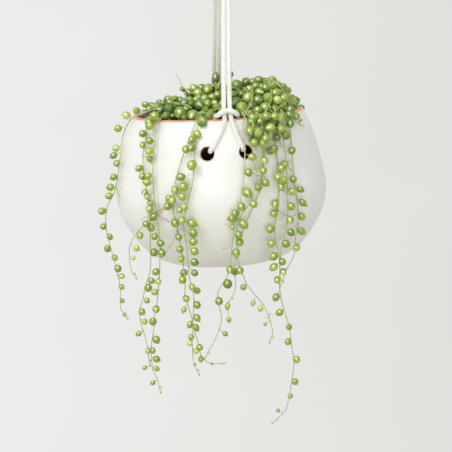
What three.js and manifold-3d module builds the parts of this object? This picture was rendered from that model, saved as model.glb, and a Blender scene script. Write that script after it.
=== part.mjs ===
// String of pearls (Curio rowleyanus) in a hanging ceramic bowl planter.
//
// Millimetres. +Z is up, -Y is the front and +X is the right-hand side.
// The origin is the hanging point: the top of the ring's eye, where a hook
// carries the ring. Two closed loops of cotton cord pass over the bottom of
// the ring. Each loop is hitched to the wall of the bowl through a pair of
// holes below the rim, so the bowl hangs from four strands. The bowl is a
// cover pot: a plastic nursery pot with the plant stands inside it.

import * as THREE from 'three';
import { mergeVertices } from 'three/addons/utils/BufferGeometryUtils.js';
import Module from 'manifold-3d';

const wasm = await Module();
wasm.setup();

// ---------------------------------------------------------------- dimensions

const GAP = 0.3; // clearance between pieces that touch

const RING_RADIUS = 24; // of the centre line
const RING_SECTION = 6; // radius of the round wood
const RING_DROP = RING_RADIUS - RING_SECTION; // hanging point to the ring's centre

const CORD_DIAMETER = 4;
const CORD_SIDES = 8;
const CORD_STEPS = 78;
const WRAP_RADIUS = RING_SECTION + CORD_DIAMETER / 2 + 3 * GAP;
const STRAND_CURVE_STEP = 30; // degrees between the points of a cord's turn round the ring

const WHIPPING_START = 17; // along the cord, from the centre of the ring's section
const WHIPPING_LENGTH = 7;
const WHIPPING_WALL = 0.8;
const STRAND_OFFSET = CORD_DIAMETER / 2 + GAP / 2; // of each strand inside the whipping

const RIM_CENTRE = new THREE.Vector3(-2.8, 0, -160);
const BOWL_TILT = THREE.MathUtils.degToRad(-2.8); // the left side hangs lower
const BOWL_HEIGHT = 127;
const BOWL_WALL = 5;
const FLOOR_THICKNESS = 7;
const FLOOR_CHAMFER = 7; // where the inside turns from wall to floor
const RIM_CHAMFER = 1;
const FOOT_RADIUS = 44;
const RIM_RADIUS = 72.2;
const WIDEST_DEPTH = 67;
const BOWL_SEGMENTS = 36;
// Outer radius of the bowl against depth below the rim.
const BOWL_OUTLINE = [
  [73.5, 1.5], [76.5, 8.6], [80.7, 19], [85.9, 40], [89.4, 58], [90, WIDEST_DEPTH],
  [88.9, 76], [86, 86], [80.8, 96], [74.3, 106.5], [64.9, 117], [56, 123],
];

const HOLE_RADIUS = 5.5;
const HOLE_DEPTH = 26.5;
const HOLE_HALF_ANGLE = 11.2; // degrees from the middle of a pair to each hole
// Each loop of cord: where it crosses the ring, and the middle of its pair of holes
// and of its bight on the rim, in degrees round from the front.
const FRONT_LOOP = { x: 4.8, holes: 4.8, bight: 7 };
const REAR_LOOP = { x: -3, holes: 180.5, bight: 180.5 };

const NURSERY_TOP = 1.5; // below the bowl's rim
const NURSERY_LIP_RADIUS = 61;
const NURSERY_LIP_HEIGHT = 6;
const NURSERY_TOP_RADIUS = 58.5;
const NURSERY_FOOT_RADIUS = 43;
const NURSERY_WALL = 1.4;
const NURSERY_BOTTOM = BOWL_HEIGHT - FLOOR_THICKNESS - GAP;
const DRAIN_HOLES = 6;
const DRAIN_RADIUS = 4;
const DRAIN_CIRCLE = 30;

const SOIL_EDGE = -5; // height of the potting mix at the wall, above the rim
const SOIL_CROWN = 5; // height in the middle
const ROOT_TOP_RADIUS = 36;
const ROOT_FOOT_RADIUS = 30;
const ROOT_DEPTH = 60;

const CROWN_RADIUS = 60;
const CROWN_HUB = 3; // radius left free where the tufts meet
const CROWN_TUFTS = ['front', 'front_right', 'rear_right', 'rear', 'rear_left', 'front_left'];
const TUFT_RINGS = 5;
const TUFT_RAYS = 5;
const CROWN_EDGE_HEIGHT = 3.5;
// Height of the leafy mound above the rim, from left to right through its middle.
const CROWN_RIDGE = [
  [-62, 6], [-42, 14], [-30, 19], [-16, 24], [-4, 28], [15, 26], [31, 28], [44, 27], [54, 20], [62, 9],
];

const STEM_RADIUS = 0.8;
const LEAF_RADIUS = 2.6;
const LEAF_PITCH = 18; // between the stand-in leaves along a stem
const STEM_SIDES = 5;

// --------------------------------------------------------- colours of the parts

function material(color, roughness) {
  return new THREE.MeshStandardMaterial({ color, roughness, metalness: 0 });
}

const GLAZE = material(0xf6f4ef, 0.3);
const COTTON = material(0xefeade, 0.95);
const THREAD = material(0xe4dccb, 0.9);
const WOOD = material(0xc79c6a, 0.6);
const BLACK_PLASTIC = material(0x1d1c1b, 0.55);
const SOIL = material(0x3b2b1f, 1);
const ROOTS = material(0x5b4632, 1);
const CROWN_GREEN = material(0x5d8c3a, 0.45);
const VINE_GREEN = material(0x7fae49, 0.45);

// ------------------------------------------------------------------- helpers

function toManifold(geometry) {
  const bare = geometry.clone();
  bare.deleteAttribute('normal');
  bare.deleteAttribute('uv');
  const merged = mergeVertices(bare, 1e-4);
  return new wasm.Manifold(new wasm.Mesh({
    numProp: 3,
    vertProperties: new Float32Array(merged.attributes.position.array),
    triVerts: new Uint32Array(merged.index.array),
  }));
}

function toGeometry(solid) {
  const mesh = solid.getMesh();
  return indexedGeometry(mesh.vertProperties, mesh.triVerts);
}

function indexedGeometry(positions, indices) {
  const geometry = new THREE.BufferGeometry();
  geometry.setAttribute('position', new THREE.Float32BufferAttribute(positions, 3));
  geometry.setIndex(Array.from(indices));
  geometry.computeVertexNormals();
  return geometry;
}

function part(name, geometry, finish) {
  const mesh = new THREE.Mesh(geometry, finish);
  mesh.name = name;
  return mesh;
}

// Value at x on the broken line through [x, value] pairs.
function interpolate(pairs, x) {
  if (x <= pairs[0][0]) return pairs[0][1];
  for (let i = 1; i < pairs.length; i += 1) {
    const [x0, v0] = pairs[i - 1];
    const [x1, v1] = pairs[i];
    if (x <= x1) return v0 + ((v1 - v0) * (x - x0)) / (x1 - x0);
  }
  return pairs[pairs.length - 1][1];
}

// A solid of revolution about Z from [radius, height] pairs that start and end on the axis.
function revolve(profile, segments) {
  const points = profile.map(([radius, height]) => new THREE.Vector2(radius, height));
  return new THREE.LatheGeometry(points, segments).rotateX(Math.PI / 2);
}

// A point of the bowl's own frame: angle round from the front, radius and height above the rim.
function polar(angleDegrees, radius, height) {
  const angle = THREE.MathUtils.degToRad(angleDegrees);
  return new THREE.Vector3(radius * Math.sin(angle), -radius * Math.cos(angle), height);
}

// --------------------------------------------------------------------- bowl

const bowl = new THREE.Group();
bowl.position.copy(RIM_CENTRE);
bowl.rotation.y = BOWL_TILT;
bowl.updateMatrixWorld();

function fromBowl(point) {
  return point.applyMatrix4(bowl.matrixWorld);
}

const RADIUS_BY_DEPTH = [[0, RIM_RADIUS], ...BOWL_OUTLINE.map(([radius, depth]) => [depth, radius])];

function bowlRadius(depth) {
  return interpolate(RADIUS_BY_DEPTH, depth);
}

function bowlProfile() {
  const floor = BOWL_HEIGHT - FLOOR_THICKNESS;
  const outside = BOWL_OUTLINE.map(([radius, depth]) => [radius, -depth]).reverse();
  const inside = BOWL_OUTLINE.slice(1, -2).map(([radius, depth]) => [radius - BOWL_WALL, -depth]);
  return [
    [0, -BOWL_HEIGHT],
    [FOOT_RADIUS, -BOWL_HEIGHT],
    ...outside,
    [RIM_RADIUS, 0],
    [RIM_RADIUS - BOWL_WALL + RIM_CHAMFER, 0],
    [RIM_RADIUS - BOWL_WALL, -RIM_CHAMFER],
    ...inside,
    [bowlRadius(floor - FLOOR_CHAMFER) - BOWL_WALL, FLOOR_CHAMFER - floor],
    [FOOT_RADIUS + FLOOR_CHAMFER / 2, -floor],
    [0, -floor],
  ];
}

// A round cutter that goes through the wall along the bowl's radius.
function wallCutter(angleDegrees) {
  const cutter = new THREE.CylinderGeometry(HOLE_RADIUS, HOLE_RADIUS, 4 * BOWL_WALL, 20);
  const outward = polar(angleDegrees, 1, 0);
  cutter.applyQuaternion(new THREE.Quaternion().setFromUnitVectors(new THREE.Vector3(0, 1, 0), outward));
  const centre = polar(angleDegrees, bowlRadius(HOLE_DEPTH) - BOWL_WALL / 2, -HOLE_DEPTH);
  return toManifold(cutter.translate(centre.x, centre.y, centre.z));
}

function planterPot() {
  let solid = toManifold(revolve(bowlProfile(), BOWL_SEGMENTS));
  for (const { holes } of [FRONT_LOOP, REAR_LOOP]) {
    for (const side of [-HOLE_HALF_ANGLE, HOLE_HALF_ANGLE]) {
      solid = solid.subtract(wallCutter(holes + side));
    }
  }
  return part('planter_pot', toGeometry(solid), GLAZE);
}

// --------------------------------------------- nursery pot, mix and root ball

const NURSERY_SPAN = NURSERY_BOTTOM - NURSERY_TOP;

// Outer radius of the nursery pot's tapered wall against depth below the bowl's rim.
function nurseryRadius(depth) {
  const share = (depth - NURSERY_TOP) / NURSERY_SPAN;
  return NURSERY_TOP_RADIUS + (NURSERY_FOOT_RADIUS - NURSERY_TOP_RADIUS) * share;
}

function nurseryPot() {
  const lipFoot = NURSERY_TOP + NURSERY_LIP_HEIGHT;
  const floor = NURSERY_BOTTOM - NURSERY_WALL;
  const shell = revolve([
    [0, -NURSERY_BOTTOM],
    [NURSERY_FOOT_RADIUS, -NURSERY_BOTTOM],
    [nurseryRadius(lipFoot), -lipFoot],
    [NURSERY_LIP_RADIUS, -lipFoot],
    [NURSERY_LIP_RADIUS, -NURSERY_TOP],
    [NURSERY_TOP_RADIUS - NURSERY_WALL, -NURSERY_TOP],
    [nurseryRadius(floor) - NURSERY_WALL, -floor],
    [0, -floor],
  ], 32);
  let solid = toManifold(shell);
  for (let i = 0; i < DRAIN_HOLES; i += 1) {
    const centre = polar((360 * i) / DRAIN_HOLES, DRAIN_CIRCLE, -NURSERY_BOTTOM);
    const drain = new THREE.CylinderGeometry(DRAIN_RADIUS, DRAIN_RADIUS, 4 * NURSERY_WALL, 12);
    drain.rotateX(Math.PI / 2).translate(centre.x, centre.y, centre.z);
    solid = solid.subtract(toManifold(drain));
  }
  return part('nursery_pot', toGeometry(solid), BLACK_PLASTIC);
}

const SOIL_RADIUS = NURSERY_TOP_RADIUS - NURSERY_WALL - 2 * GAP;

function soilTop(radius) {
  const share = Math.min(1, radius / SOIL_RADIUS);
  return SOIL_EDGE + (SOIL_CROWN - SOIL_EDGE) * Math.cos((Math.PI / 2) * share);
}

function pottingMix() {
  const floor = NURSERY_BOTTOM - NURSERY_WALL - GAP;
  const pocket = ROOT_TOP_RADIUS + GAP;
  return part('potting_mix', revolve([
    [0, -floor],
    [nurseryRadius(floor) - NURSERY_WALL - GAP, -floor],
    [nurseryRadius(-SOIL_EDGE) - NURSERY_WALL - GAP, SOIL_EDGE],
    [(SOIL_RADIUS + pocket) / 2, soilTop((SOIL_RADIUS + pocket) / 2)],
    [pocket, soilTop(pocket)],
    [ROOT_FOOT_RADIUS + GAP, -ROOT_DEPTH - GAP],
    [0, -ROOT_DEPTH - GAP],
  ], 28), SOIL);
}

function rootBall() {
  return part('root_ball', revolve([
    [0, -ROOT_DEPTH],
    [ROOT_FOOT_RADIUS, -ROOT_DEPTH],
    [ROOT_TOP_RADIUS, soilTop(ROOT_TOP_RADIUS)],
    [ROOT_TOP_RADIUS / 2, soilTop(ROOT_TOP_RADIUS / 2)],
    [0, soilTop(0)],
  ], 28), ROOTS);
}

// ------------------------------------------------------------- leafy crown

function crownHeight(x, y) {
  const fall = 1 - Math.min(1, Math.abs(y) / CROWN_RADIUS) ** 2.4;
  return CROWN_EDGE_HEIGHT + (interpolate(CROWN_RIDGE, x) - CROWN_EDGE_HEIGHT) * fall;
}

// One sector of the mound: a closed sheet of top and bottom points on a polar grid.
function crownTuft(index) {
  const sector = 360 / CROWN_TUFTS.length;
  const positions = [];
  for (const top of [true, false]) {
    for (let ring = 0; ring <= TUFT_RINGS; ring += 1) {
      const radius = CROWN_HUB + ((CROWN_RADIUS - CROWN_HUB) * ring) / TUFT_RINGS;
      const margin = THREE.MathUtils.radToDeg(GAP / radius);
      for (let ray = 0; ray <= TUFT_RAYS; ray += 1) {
        const angle = sector * (index - 0.5) + margin + ((sector - 2 * margin) * ray) / TUFT_RAYS;
        const point = polar(angle, radius, 0);
        const under = radius > SOIL_RADIUS ? GAP : soilTop(radius) + 2 * GAP;
        positions.push(point.x, point.y, top ? crownHeight(point.x, point.y) : under);
      }
    }
  }
  return indexedGeometry(positions, sheetIndices(TUFT_RINGS, TUFT_RAYS));
}

// Triangles that close two matching grids, the first facing up and the second facing down.
function sheetIndices(rings, rays) {
  const row = rays + 1;
  const layer = (rings + 1) * row;
  const indices = [];
  const quad = (a, b, c, d) => indices.push(a, b, c, a, c, d);
  for (let i = 0; i < rings; i += 1) {
    for (let j = 0; j < rays; j += 1) {
      const corner = i * row + j;
      quad(corner, corner + row, corner + row + 1, corner + 1);
      quad(layer + corner, layer + corner + 1, layer + corner + row + 1, layer + corner + row);
    }
  }
  const wall = (a, b) => quad(b, a, layer + a, layer + b);
  for (let j = 0; j < rays; j += 1) {
    wall(j + 1, j);
    wall(rings * row + j, rings * row + j + 1);
  }
  for (let i = 0; i < rings; i += 1) {
    wall(i * row, (i + 1) * row);
    wall((i + 1) * row + rays, i * row + rays);
  }
  return indices;
}

// ------------------------------------------------------------ hanging ring

function hangingRing() {
  const ring = new THREE.TorusGeometry(RING_RADIUS, RING_SECTION, 10, 32);
  ring.rotateX(Math.PI / 2).translate(0, 0, -RING_DROP);
  return part('hanging_ring', ring, WOOD);
}

// -------------------------------------------------------------------- cords

// A smooth curve whose steps follow its points, so that tight bends get short steps.
class Route extends THREE.CatmullRomCurve3 {
  getPointAt(u, target) {
    return this.getPoint(u, target);
  }

  getTangentAt(u, target) {
    return this.getTangent(u, target);
  }
}

// Half of a hitch, from under the bight to the middle of the bight. Each point is
// [side, radius, height]: along the rim from the middle of the hitch, out from the
// bowl's axis, and above the rim. The strand passes under the bight, goes down the
// outside into its hole, climbs the inside and comes back over the rim.
const HITCH = [
  [2.5, 70.9, 6], [2.8, 75, 0], [4.5, 77.7, -5], [7.3, 80.7, -12], [10.6, 83.3, -18.4], [12.7, 84.4, -22],
  [13.7, 82.7, -24.2], [13.3, 79.2, -25], [12.9, 75.6, -24.8], [12.8, 72.7, -21.6], [12.7, 71.4, -17],
  [12.1, 69.2, -11], [11, 66.7, -5], [9.8, 64.6, 0], [9.1, 66.3, 2.3], [8.7, 69.4, 3],
  [7.8, 72.5, 3.6], [6.3, 75, 5.1], [3.4, 75.8, 6.8],
];
const BIGHT_MIDDLE = [0, 75.2, 7.2];

// The hitch leans from the middle of the holes to the middle of the bight as it rises.
function hitchPoint({ holes, bight }, mirror, [side, radius, height]) {
  const rise = THREE.MathUtils.clamp((height + HOLE_DEPTH) / HOLE_DEPTH, 0, 1);
  const middle = holes + (bight - holes) * rise;
  const sideAngle = THREE.MathUtils.radToDeg((mirror * side) / radius);
  return fromBowl(polar(middle + sideAngle, radius, height));
}

const STRAND_TOP = [0, 70.9, 6]; // midway between the strands where they pass under the bight

// Directions at the ring for the loop that hangs towards its hitch. The strand that
// leaves the ring on the far side from across goes to the side that beside points to.
function loopFrame(loop) {
  const centre = new THREE.Vector3(loop.x, 0, -RING_DROP - RING_RADIUS);
  const down = hitchPoint(loop, 1, STRAND_TOP).sub(centre).setX(0).normalize();
  const across = new THREE.Vector3(0, -down.z, down.y);
  const beside = new THREE.Vector3(down.y < 0 ? 1 : -1, 0, 0);
  return { centre, down, across, beside };
}

function alongLoop({ centre, down, across, beside }, distance, offset, side = 0) {
  const point = centre.clone().addScaledVector(down, distance);
  return point.addScaledVector(across, offset).addScaledVector(beside, side);
}

// One strand from the ring to its hitch: [distance, offset, side]. The two strands come
// off the front and the back of the ring and make a quarter turn to lie side by side.
const LEAVING_RING = [6, -6.4, 0];
const QUARTER_TURN = [[10.5, -3.6, 1.5], [WHIPPING_START - 1.8, -0.4, STRAND_OFFSET]];
const BELOW_WHIPPING = [WHIPPING_START + WHIPPING_LENGTH + 2, 0, STRAND_OFFSET];

// One closed loop of cord: its two ends butt together inside the whipping.
function cordPoints(loop) {
  const frame = loopFrame(loop);
  const middle = WHIPPING_START + WHIPPING_LENGTH / 2;
  const strand = (mirror, [distance, offset, side]) => (
    alongLoop(frame, distance, mirror * offset, mirror * side)
  );
  const points = [strand(-1, [middle - GAP / 2, 0, STRAND_OFFSET])];
  points.push(strand(-1, QUARTER_TURN[1]), strand(-1, QUARTER_TURN[0]), strand(-1, LEAVING_RING));
  for (let turn = 0; turn <= 180; turn += STRAND_CURVE_STEP) {
    const angle = THREE.MathUtils.degToRad(turn);
    points.push(alongLoop(frame, -WRAP_RADIUS * Math.sin(angle), WRAP_RADIUS * Math.cos(angle)));
  }
  points.push(strand(1, LEAVING_RING), strand(1, QUARTER_TURN[0]), strand(1, QUARTER_TURN[1]));
  points.push(strand(1, BELOW_WHIPPING));
  const there = HITCH.map((place) => hitchPoint(loop, 1, place));
  const back = HITCH.map((place) => hitchPoint(loop, -1, place)).reverse();
  points.push(...there, hitchPoint(loop, 1, BIGHT_MIDDLE), ...back);
  points.push(strand(-1, BELOW_WHIPPING));
  points.push(strand(-1, [middle + GAP / 2, 0, STRAND_OFFSET]));
  return points;
}

function cord(name, loop) {
  const points = cordPoints(loop);
  const section = new THREE.Shape();
  for (let i = 0; i < CORD_SIDES; i += 1) {
    const angle = (2 * Math.PI * i) / CORD_SIDES;
    const corner = [(CORD_DIAMETER / 2) * Math.cos(angle), (CORD_DIAMETER / 2) * Math.sin(angle)];
    if (i === 0) section.moveTo(...corner);
    else section.lineTo(...corner);
  }
  const extrudePath = new Route(points, false, 'centripetal');
  return part(name, new THREE.ExtrudeGeometry(section, { steps: CORD_STEPS, extrudePath }), COTTON);
}

// The outline of two equal circles side by side, with its straight sides.
function stadium(target, radius) {
  target.absarc(STRAND_OFFSET, 0, radius, -Math.PI / 2, Math.PI / 2, false);
  target.absarc(-STRAND_OFFSET, 0, radius, Math.PI / 2, (3 * Math.PI) / 2, false);
  return target;
}

// A band of thread that binds the two strands of a loop below the ring.
function whipping(name, loop) {
  const inner = CORD_DIAMETER / 2 + GAP;
  const section = stadium(new THREE.Shape(), inner + WHIPPING_WALL);
  section.holes.push(stadium(new THREE.Path(), inner));
  const options = { depth: WHIPPING_LENGTH, bevelEnabled: false, curveSegments: 8 };
  const mesh = part(name, new THREE.ExtrudeGeometry(section, options), THREAD);
  const frame = loopFrame(loop);
  const sideways = new THREE.Vector3(1, 0, 0);
  const through = new THREE.Vector3().crossVectors(frame.down, sideways);
  mesh.quaternion.setFromRotationMatrix(new THREE.Matrix4().makeBasis(sideways, through, frame.down));
  mesh.position.copy(alongLoop(frame, WHIPPING_START, 0));
  return mesh;
}

// ----------------------------------------------------------- trailing vines

// Each front vine: how far its stem stands off the bowl, and its route down from
// the rim as [x, z]. Where the bowl is behind it the stem lies against the wall,
// and below the widest part of the bowl it hangs free.
const FRONT_VINES = {
  vine_far_left: {
    standOff: 4,
    route: [[-75, -165], [-84, -178], [-86, -200], [-89, -223], [-96, -240], [-96, -256], [-93, -274],
      [-88, -289], [-85, -313], [-85, -326], [-80, -333]],
  },
  vine_left_outer: {
    standOff: 4,
    route: [[-62, -164], [-61, -176], [-63, -194], [-59, -218], [-58, -237], [-57, -260], [-58, -285],
      [-63, -303], [-67, -321], [-66, -331], [-62, -344], [-60, -357], [-59, -364]],
    branch: [[-58, -240], [-66, -250], [-74, -263], [-75, -275], [-73, -285], [-70, -290]],
  },
  vine_left_inner: {
    standOff: 11,
    route: [[-53, -164], [-55, -176], [-57, -194], [-56, -218], [-52, -237], [-51, -259], [-50, -284],
      [-51, -298], [-54, -321], [-57, -347], [-57, -360], [-56, -369], [-50, -386]],
  },
  vine_middle_left_outer: {
    standOff: 4,
    route: [[-22, -163], [-28, -182], [-36, -208], [-39, -229], [-35, -249], [-32, -266], [-29, -292],
      [-27, -311], [-23, -325], [-18, -345], [-16, -354], [-9, -361], [2, -361]],
  },
  vine_middle_left_inner: {
    standOff: 10,
    route: [[-15, -163], [-20, -192], [-22, -208], [-26, -224], [-30, -245], [-27, -265], [-25, -289],
      [-22, -301], [-22, -315], [-23, -345], [-22, -358], [-18, -369]],
  },
  vine_middle_right_a: {
    standOff: 9,
    route: [[21, -163], [20, -172], [20, -192], [19, -206], [17, -222], [12, -245], [10, -257], [8, -276],
      [-2, -300], [-1, -310], [1, -323], [-3, -336], [-12, -354]],
  },
  vine_middle_right_b: {
    standOff: 15,
    route: [[30, -163], [30, -184], [29, -206], [25, -224], [18, -235], [13, -254], [13, -264], [12, -299],
      [7, -308]],
  },
  vine_middle_right_c: {
    standOff: 4,
    route: [[33, -163], [36, -184], [34, -206], [29, -225], [21, -243], [17, -258], [16, -271], [18, -284],
      [22, -294], [29, -303], [36, -312], [41, -324], [43, -334], [41, -341]],
  },
  vine_short_right: {
    standOff: 11,
    route: [[43, -163], [40, -177], [38, -192], [35, -204], [33, -216]],
  },
  vine_right_a: {
    standOff: 4,
    route: [[45, -163], [46, -185], [48, -219], [45, -244], [45, -256], [48, -269], [49, -299], [54, -321],
      [59, -347], [61, -361], [59, -379], [54, -402], [44, -412]],
  },
  vine_right_b: {
    standOff: 13,
    route: [[56, -163], [54, -185], [55, -218], [55, -245], [54, -254], [51, -267], [49, -288]],
  },
  vine_right_c: {
    standOff: 4,
    route: [[56, -163], [59, -186], [61, -212], [64, -233], [64, -245], [62, -260], [61, -272],
      [57, -284]],
  },
};

// Each rear vine: degrees round from the front, and length below the rim.
const REAR_VINES = [[118, 55], [140, 85], [159, 110], [202, 75], [219, 105], [243, 60]];
const REAR_STAND_OFF = 4;
const REAR_START = 3; // depth of the first point below the rim
const REAR_STEP = 14;

const toBowl = bowl.matrixWorld.clone().invert();

const OVER_RIM = [[65, 7], [71, 7.2]]; // a vine's first points, as radius and height above the rim

// The first points of a vine: from the edge of the crown over the rim.
function overRim(angleDegrees) {
  return OVER_RIM.map(([radius, height]) => fromBowl(polar(angleDegrees, radius, height)));
}

function frontRoute({ standOff, route }, fromRim = true) {
  const points = [];
  let y = -RIM_RADIUS;
  for (const [x, z] of route) {
    const local = new THREE.Vector3(x, 0, z).applyMatrix4(toBowl);
    const reach = bowlRadius(Math.min(-local.z, WIDEST_DEPTH)) + standOff;
    const against = -local.z <= WIDEST_DEPTH || points.length === 0;
    if (against && reach > Math.abs(local.x)) y = -Math.sqrt(reach ** 2 - local.x ** 2);
    points.push(new THREE.Vector3(x, y, z));
  }
  if (!fromRim) return points;
  const first = points[0].clone().applyMatrix4(toBowl);
  return [...overRim(THREE.MathUtils.radToDeg(Math.atan2(first.x, -first.y))), ...points];
}

function rearRoute([angle, length]) {
  const points = overRim(angle);
  for (let depth = REAR_START; depth < length; depth += REAR_STEP) {
    const radius = bowlRadius(Math.min(depth, WIDEST_DEPTH)) + REAR_STAND_OFF;
    points.push(fromBowl(polar(angle, radius, -depth)));
  }
  return points;
}

// A stem with leaves threaded on it: rings of points that swell at each leaf.
function strungStem(points) {
  const curve = new THREE.CatmullRomCurve3(points, false, 'centripetal');
  const length = curve.getLength();
  const rings = [[0, STEM_RADIUS]];
  for (let leaf = LEAF_PITCH / 2; leaf < length - LEAF_RADIUS; leaf += LEAF_PITCH) {
    rings.push([leaf - LEAF_RADIUS, STEM_RADIUS], [leaf, LEAF_RADIUS], [leaf + LEAF_RADIUS, STEM_RADIUS]);
  }
  rings.push([length, STEM_RADIUS]);
  const normal = new THREE.Vector3(1, 0, 0);
  const positions = [];
  for (const [distance, radius] of rings) {
    const centre = curve.getPointAt(distance / length);
    const tangent = curve.getTangentAt(distance / length);
    normal.addScaledVector(tangent, -normal.dot(tangent)).normalize();
    const binormal = new THREE.Vector3().crossVectors(tangent, normal);
    for (let side = 0; side < STEM_SIDES; side += 1) {
      const angle = (2 * Math.PI * side) / STEM_SIDES;
      const point = centre.clone().addScaledVector(normal, radius * Math.cos(angle));
      point.addScaledVector(binormal, radius * Math.sin(angle));
      positions.push(...point.toArray());
    }
  }
  return indexedGeometry(positions, tubeIndices(rings.length, STEM_SIDES));
}

// Triangles of a tube of rings with a flat cap at each end.
function tubeIndices(rings, sides) {
  const indices = [];
  for (let ring = 0; ring < rings - 1; ring += 1) {
    for (let side = 0; side < sides; side += 1) {
      const a = ring * sides + side;
      const b = ring * sides + ((side + 1) % sides);
      indices.push(a, b, b + sides, a, b + sides, a + sides);
    }
  }
  const last = (rings - 1) * sides;
  for (let side = 1; side < sides - 1; side += 1) {
    indices.push(0, side + 1, side);
    indices.push(last, last + side, last + side + 1);
  }
  return indices;
}

function frontVine(name, vine) {
  const stem = strungStem(frontRoute(vine));
  if (!vine.branch) return part(name, stem, VINE_GREEN);
  const branch = strungStem(frontRoute({ standOff: vine.standOff, route: vine.branch }, false));
  return part(name, toGeometry(toManifold(stem).add(toManifold(branch))), VINE_GREEN);
}

// ----------------------------------------------------------------- assembly

bowl.add(planterPot(), nurseryPot(), pottingMix(), rootBall());
CROWN_TUFTS.forEach((place, index) => {
  bowl.add(part(`crown_tuft_${place}`, crownTuft(index), CROWN_GREEN));
});

const planter = new THREE.Group();
planter.add(hangingRing());
planter.add(cord('front_cord', FRONT_LOOP));
planter.add(cord('rear_cord', REAR_LOOP));
planter.add(whipping('front_whipping', FRONT_LOOP));
planter.add(whipping('rear_whipping', REAR_LOOP));
planter.add(bowl);
for (const [name, vine] of Object.entries(FRONT_VINES)) {
  planter.add(frontVine(name, vine));
}
REAR_VINES.forEach((vine, index) => {
  planter.add(part(`vine_rear_${index + 1}`, strungStem(rearRoute(vine)), VINE_GREEN));
});

export default planter;
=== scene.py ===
"""String of pearls in a hanging bowl planter: the looks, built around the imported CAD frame.

Lengths are millimetres in the frame of the part: +Z up, -Y the front, +X the right-hand side,
origin at the top of the ring's eye. MM turns them into metres. The studio is laid out in metres.
A place in the bowl's own frame is measured from the middle of its rim, along its tilted axis.
"""

import math
import random

import bmesh
import bpy
import numpy as np
from mathutils import Matrix, Vector, noise


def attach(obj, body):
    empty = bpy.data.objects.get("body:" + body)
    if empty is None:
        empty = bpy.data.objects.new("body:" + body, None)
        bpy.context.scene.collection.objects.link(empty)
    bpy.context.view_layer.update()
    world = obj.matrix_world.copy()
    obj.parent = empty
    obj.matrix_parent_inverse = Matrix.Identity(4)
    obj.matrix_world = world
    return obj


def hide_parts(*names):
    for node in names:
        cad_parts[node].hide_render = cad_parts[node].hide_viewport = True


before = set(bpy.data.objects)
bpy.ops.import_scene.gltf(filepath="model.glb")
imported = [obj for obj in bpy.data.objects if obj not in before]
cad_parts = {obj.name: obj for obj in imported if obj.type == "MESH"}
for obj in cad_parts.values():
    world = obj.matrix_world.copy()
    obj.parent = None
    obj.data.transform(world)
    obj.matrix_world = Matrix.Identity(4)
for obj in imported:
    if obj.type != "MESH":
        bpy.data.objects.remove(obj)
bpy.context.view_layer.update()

MM = 0.001

# ------------------------------------------------------------------ dimensions

RING_RADIUS = 24.0
RING_SECTION = 6.0
RING_DROP = RING_RADIUS - RING_SECTION
CORD_DIAMETER = 4.0
RING_CLEARANCE = 0.9
WRAP_RADIUS = RING_SECTION + CORD_DIAMETER / 2 + RING_CLEARANCE
WHIPPING_START = 17.0
WHIPPING_LENGTH = 7.0
STRAND_GAP = 0.3
STRAND_OFFSET = CORD_DIAMETER / 2 + STRAND_GAP / 2

RIM_CENTRE = np.array([-2.8, 0.0, -160.0])
BOWL_TILT = math.radians(-2.8)
BOWL_HEIGHT = 127.0
BOWL_WALL = 5.0
FLOOR_THICKNESS = 7.0
FOOT_RADIUS = 44.0
RIM_RADIUS = 72.2
WIDEST_DEPTH = 67.0
# Radius and depth below the rim, from the rim to the foot.
BOWL_OUTLINE = [
    (73.5, 1.5), (76.5, 8.6), (80.7, 19), (85.9, 40), (89.4, 58), (90, WIDEST_DEPTH),
    (88.9, 76), (86, 86), (80.8, 96), (74.3, 106.5), (64.9, 117), (56, 123),
]
HOLE_RADIUS = 5.5
HOLE_DEPTH = 26.5
HOLE_HALF_ANGLE = 11.2
HOLE_SLOPE = 0.17  # rise of the holes' axes for each unit outwards
# Each loop of cord: where it crosses the ring, and the middle of its pair of holes and of its bight
# on the rim, in degrees round from the front.
FRONT_LOOP = dict(x=4.8, holes=4.8, bight=7.0)
REAR_LOOP = dict(x=-3.0, holes=180.5, bight=180.5)

NURSERY_TOP = 1.5
NURSERY_LIP_RADIUS = 61.0
NURSERY_LIP_HEIGHT = 6.0
NURSERY_TOP_RADIUS = 58.5
NURSERY_FOOT_RADIUS = 43.0
NURSERY_WALL = 1.4
NURSERY_CLEARANCE = 0.3
NURSERY_BOTTOM = BOWL_HEIGHT - FLOOR_THICKNESS - NURSERY_CLEARANCE
DRAIN_HOLES = 6
DRAIN_RADIUS = 4.0
DRAIN_CIRCLE = 30.0

SOIL_EDGE = -5.0
SOIL_CROWN = 5.0
SOIL_CLEARANCE = 0.6
SOIL_RADIUS = NURSERY_TOP_RADIUS - NURSERY_WALL - SOIL_CLEARANCE
ROOT_TOP_RADIUS = 36.0
ROOT_FOOT_RADIUS = 30.0
ROOT_DEPTH = 60.0

CROWN_RADIUS = 60.0
CROWN_EDGE_HEIGHT = 3.5
# The sixths of the crown, round from the front.
CROWN_TUFTS = ["front", "front_right", "rear_right", "rear", "rear_left", "front_left"]
# Height of the crown along its ridge, from left to right.
CROWN_RIDGE = [
    (-62, 6), (-42, 14), (-30, 19), (-16, 24), (-4, 28),
    (15, 26), (31, 28), (44, 27), (54, 20), (62, 9),
]

# ---------------------------------------------------------------- small helpers


def link(obj):
    bpy.context.scene.collection.objects.link(obj)
    return obj


def interpolate(pairs, x):
    """The value at x of a line through (x, value) pairs."""
    return float(np.interp(x, [p[0] for p in pairs], [p[1] for p in pairs]))


def polar(angle_degrees, radius, height):
    """A point of the bowl's frame from its angle round from the front, radius and height."""
    angle = math.radians(angle_degrees)
    return np.array([radius * math.sin(angle), -radius * math.cos(angle), height])


BOWL_TURN = np.array(Matrix.Rotation(BOWL_TILT, 3, "Y"))


def from_bowl(points):
    return np.atleast_2d(points) @ BOWL_TURN.T + RIM_CENTRE


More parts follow.
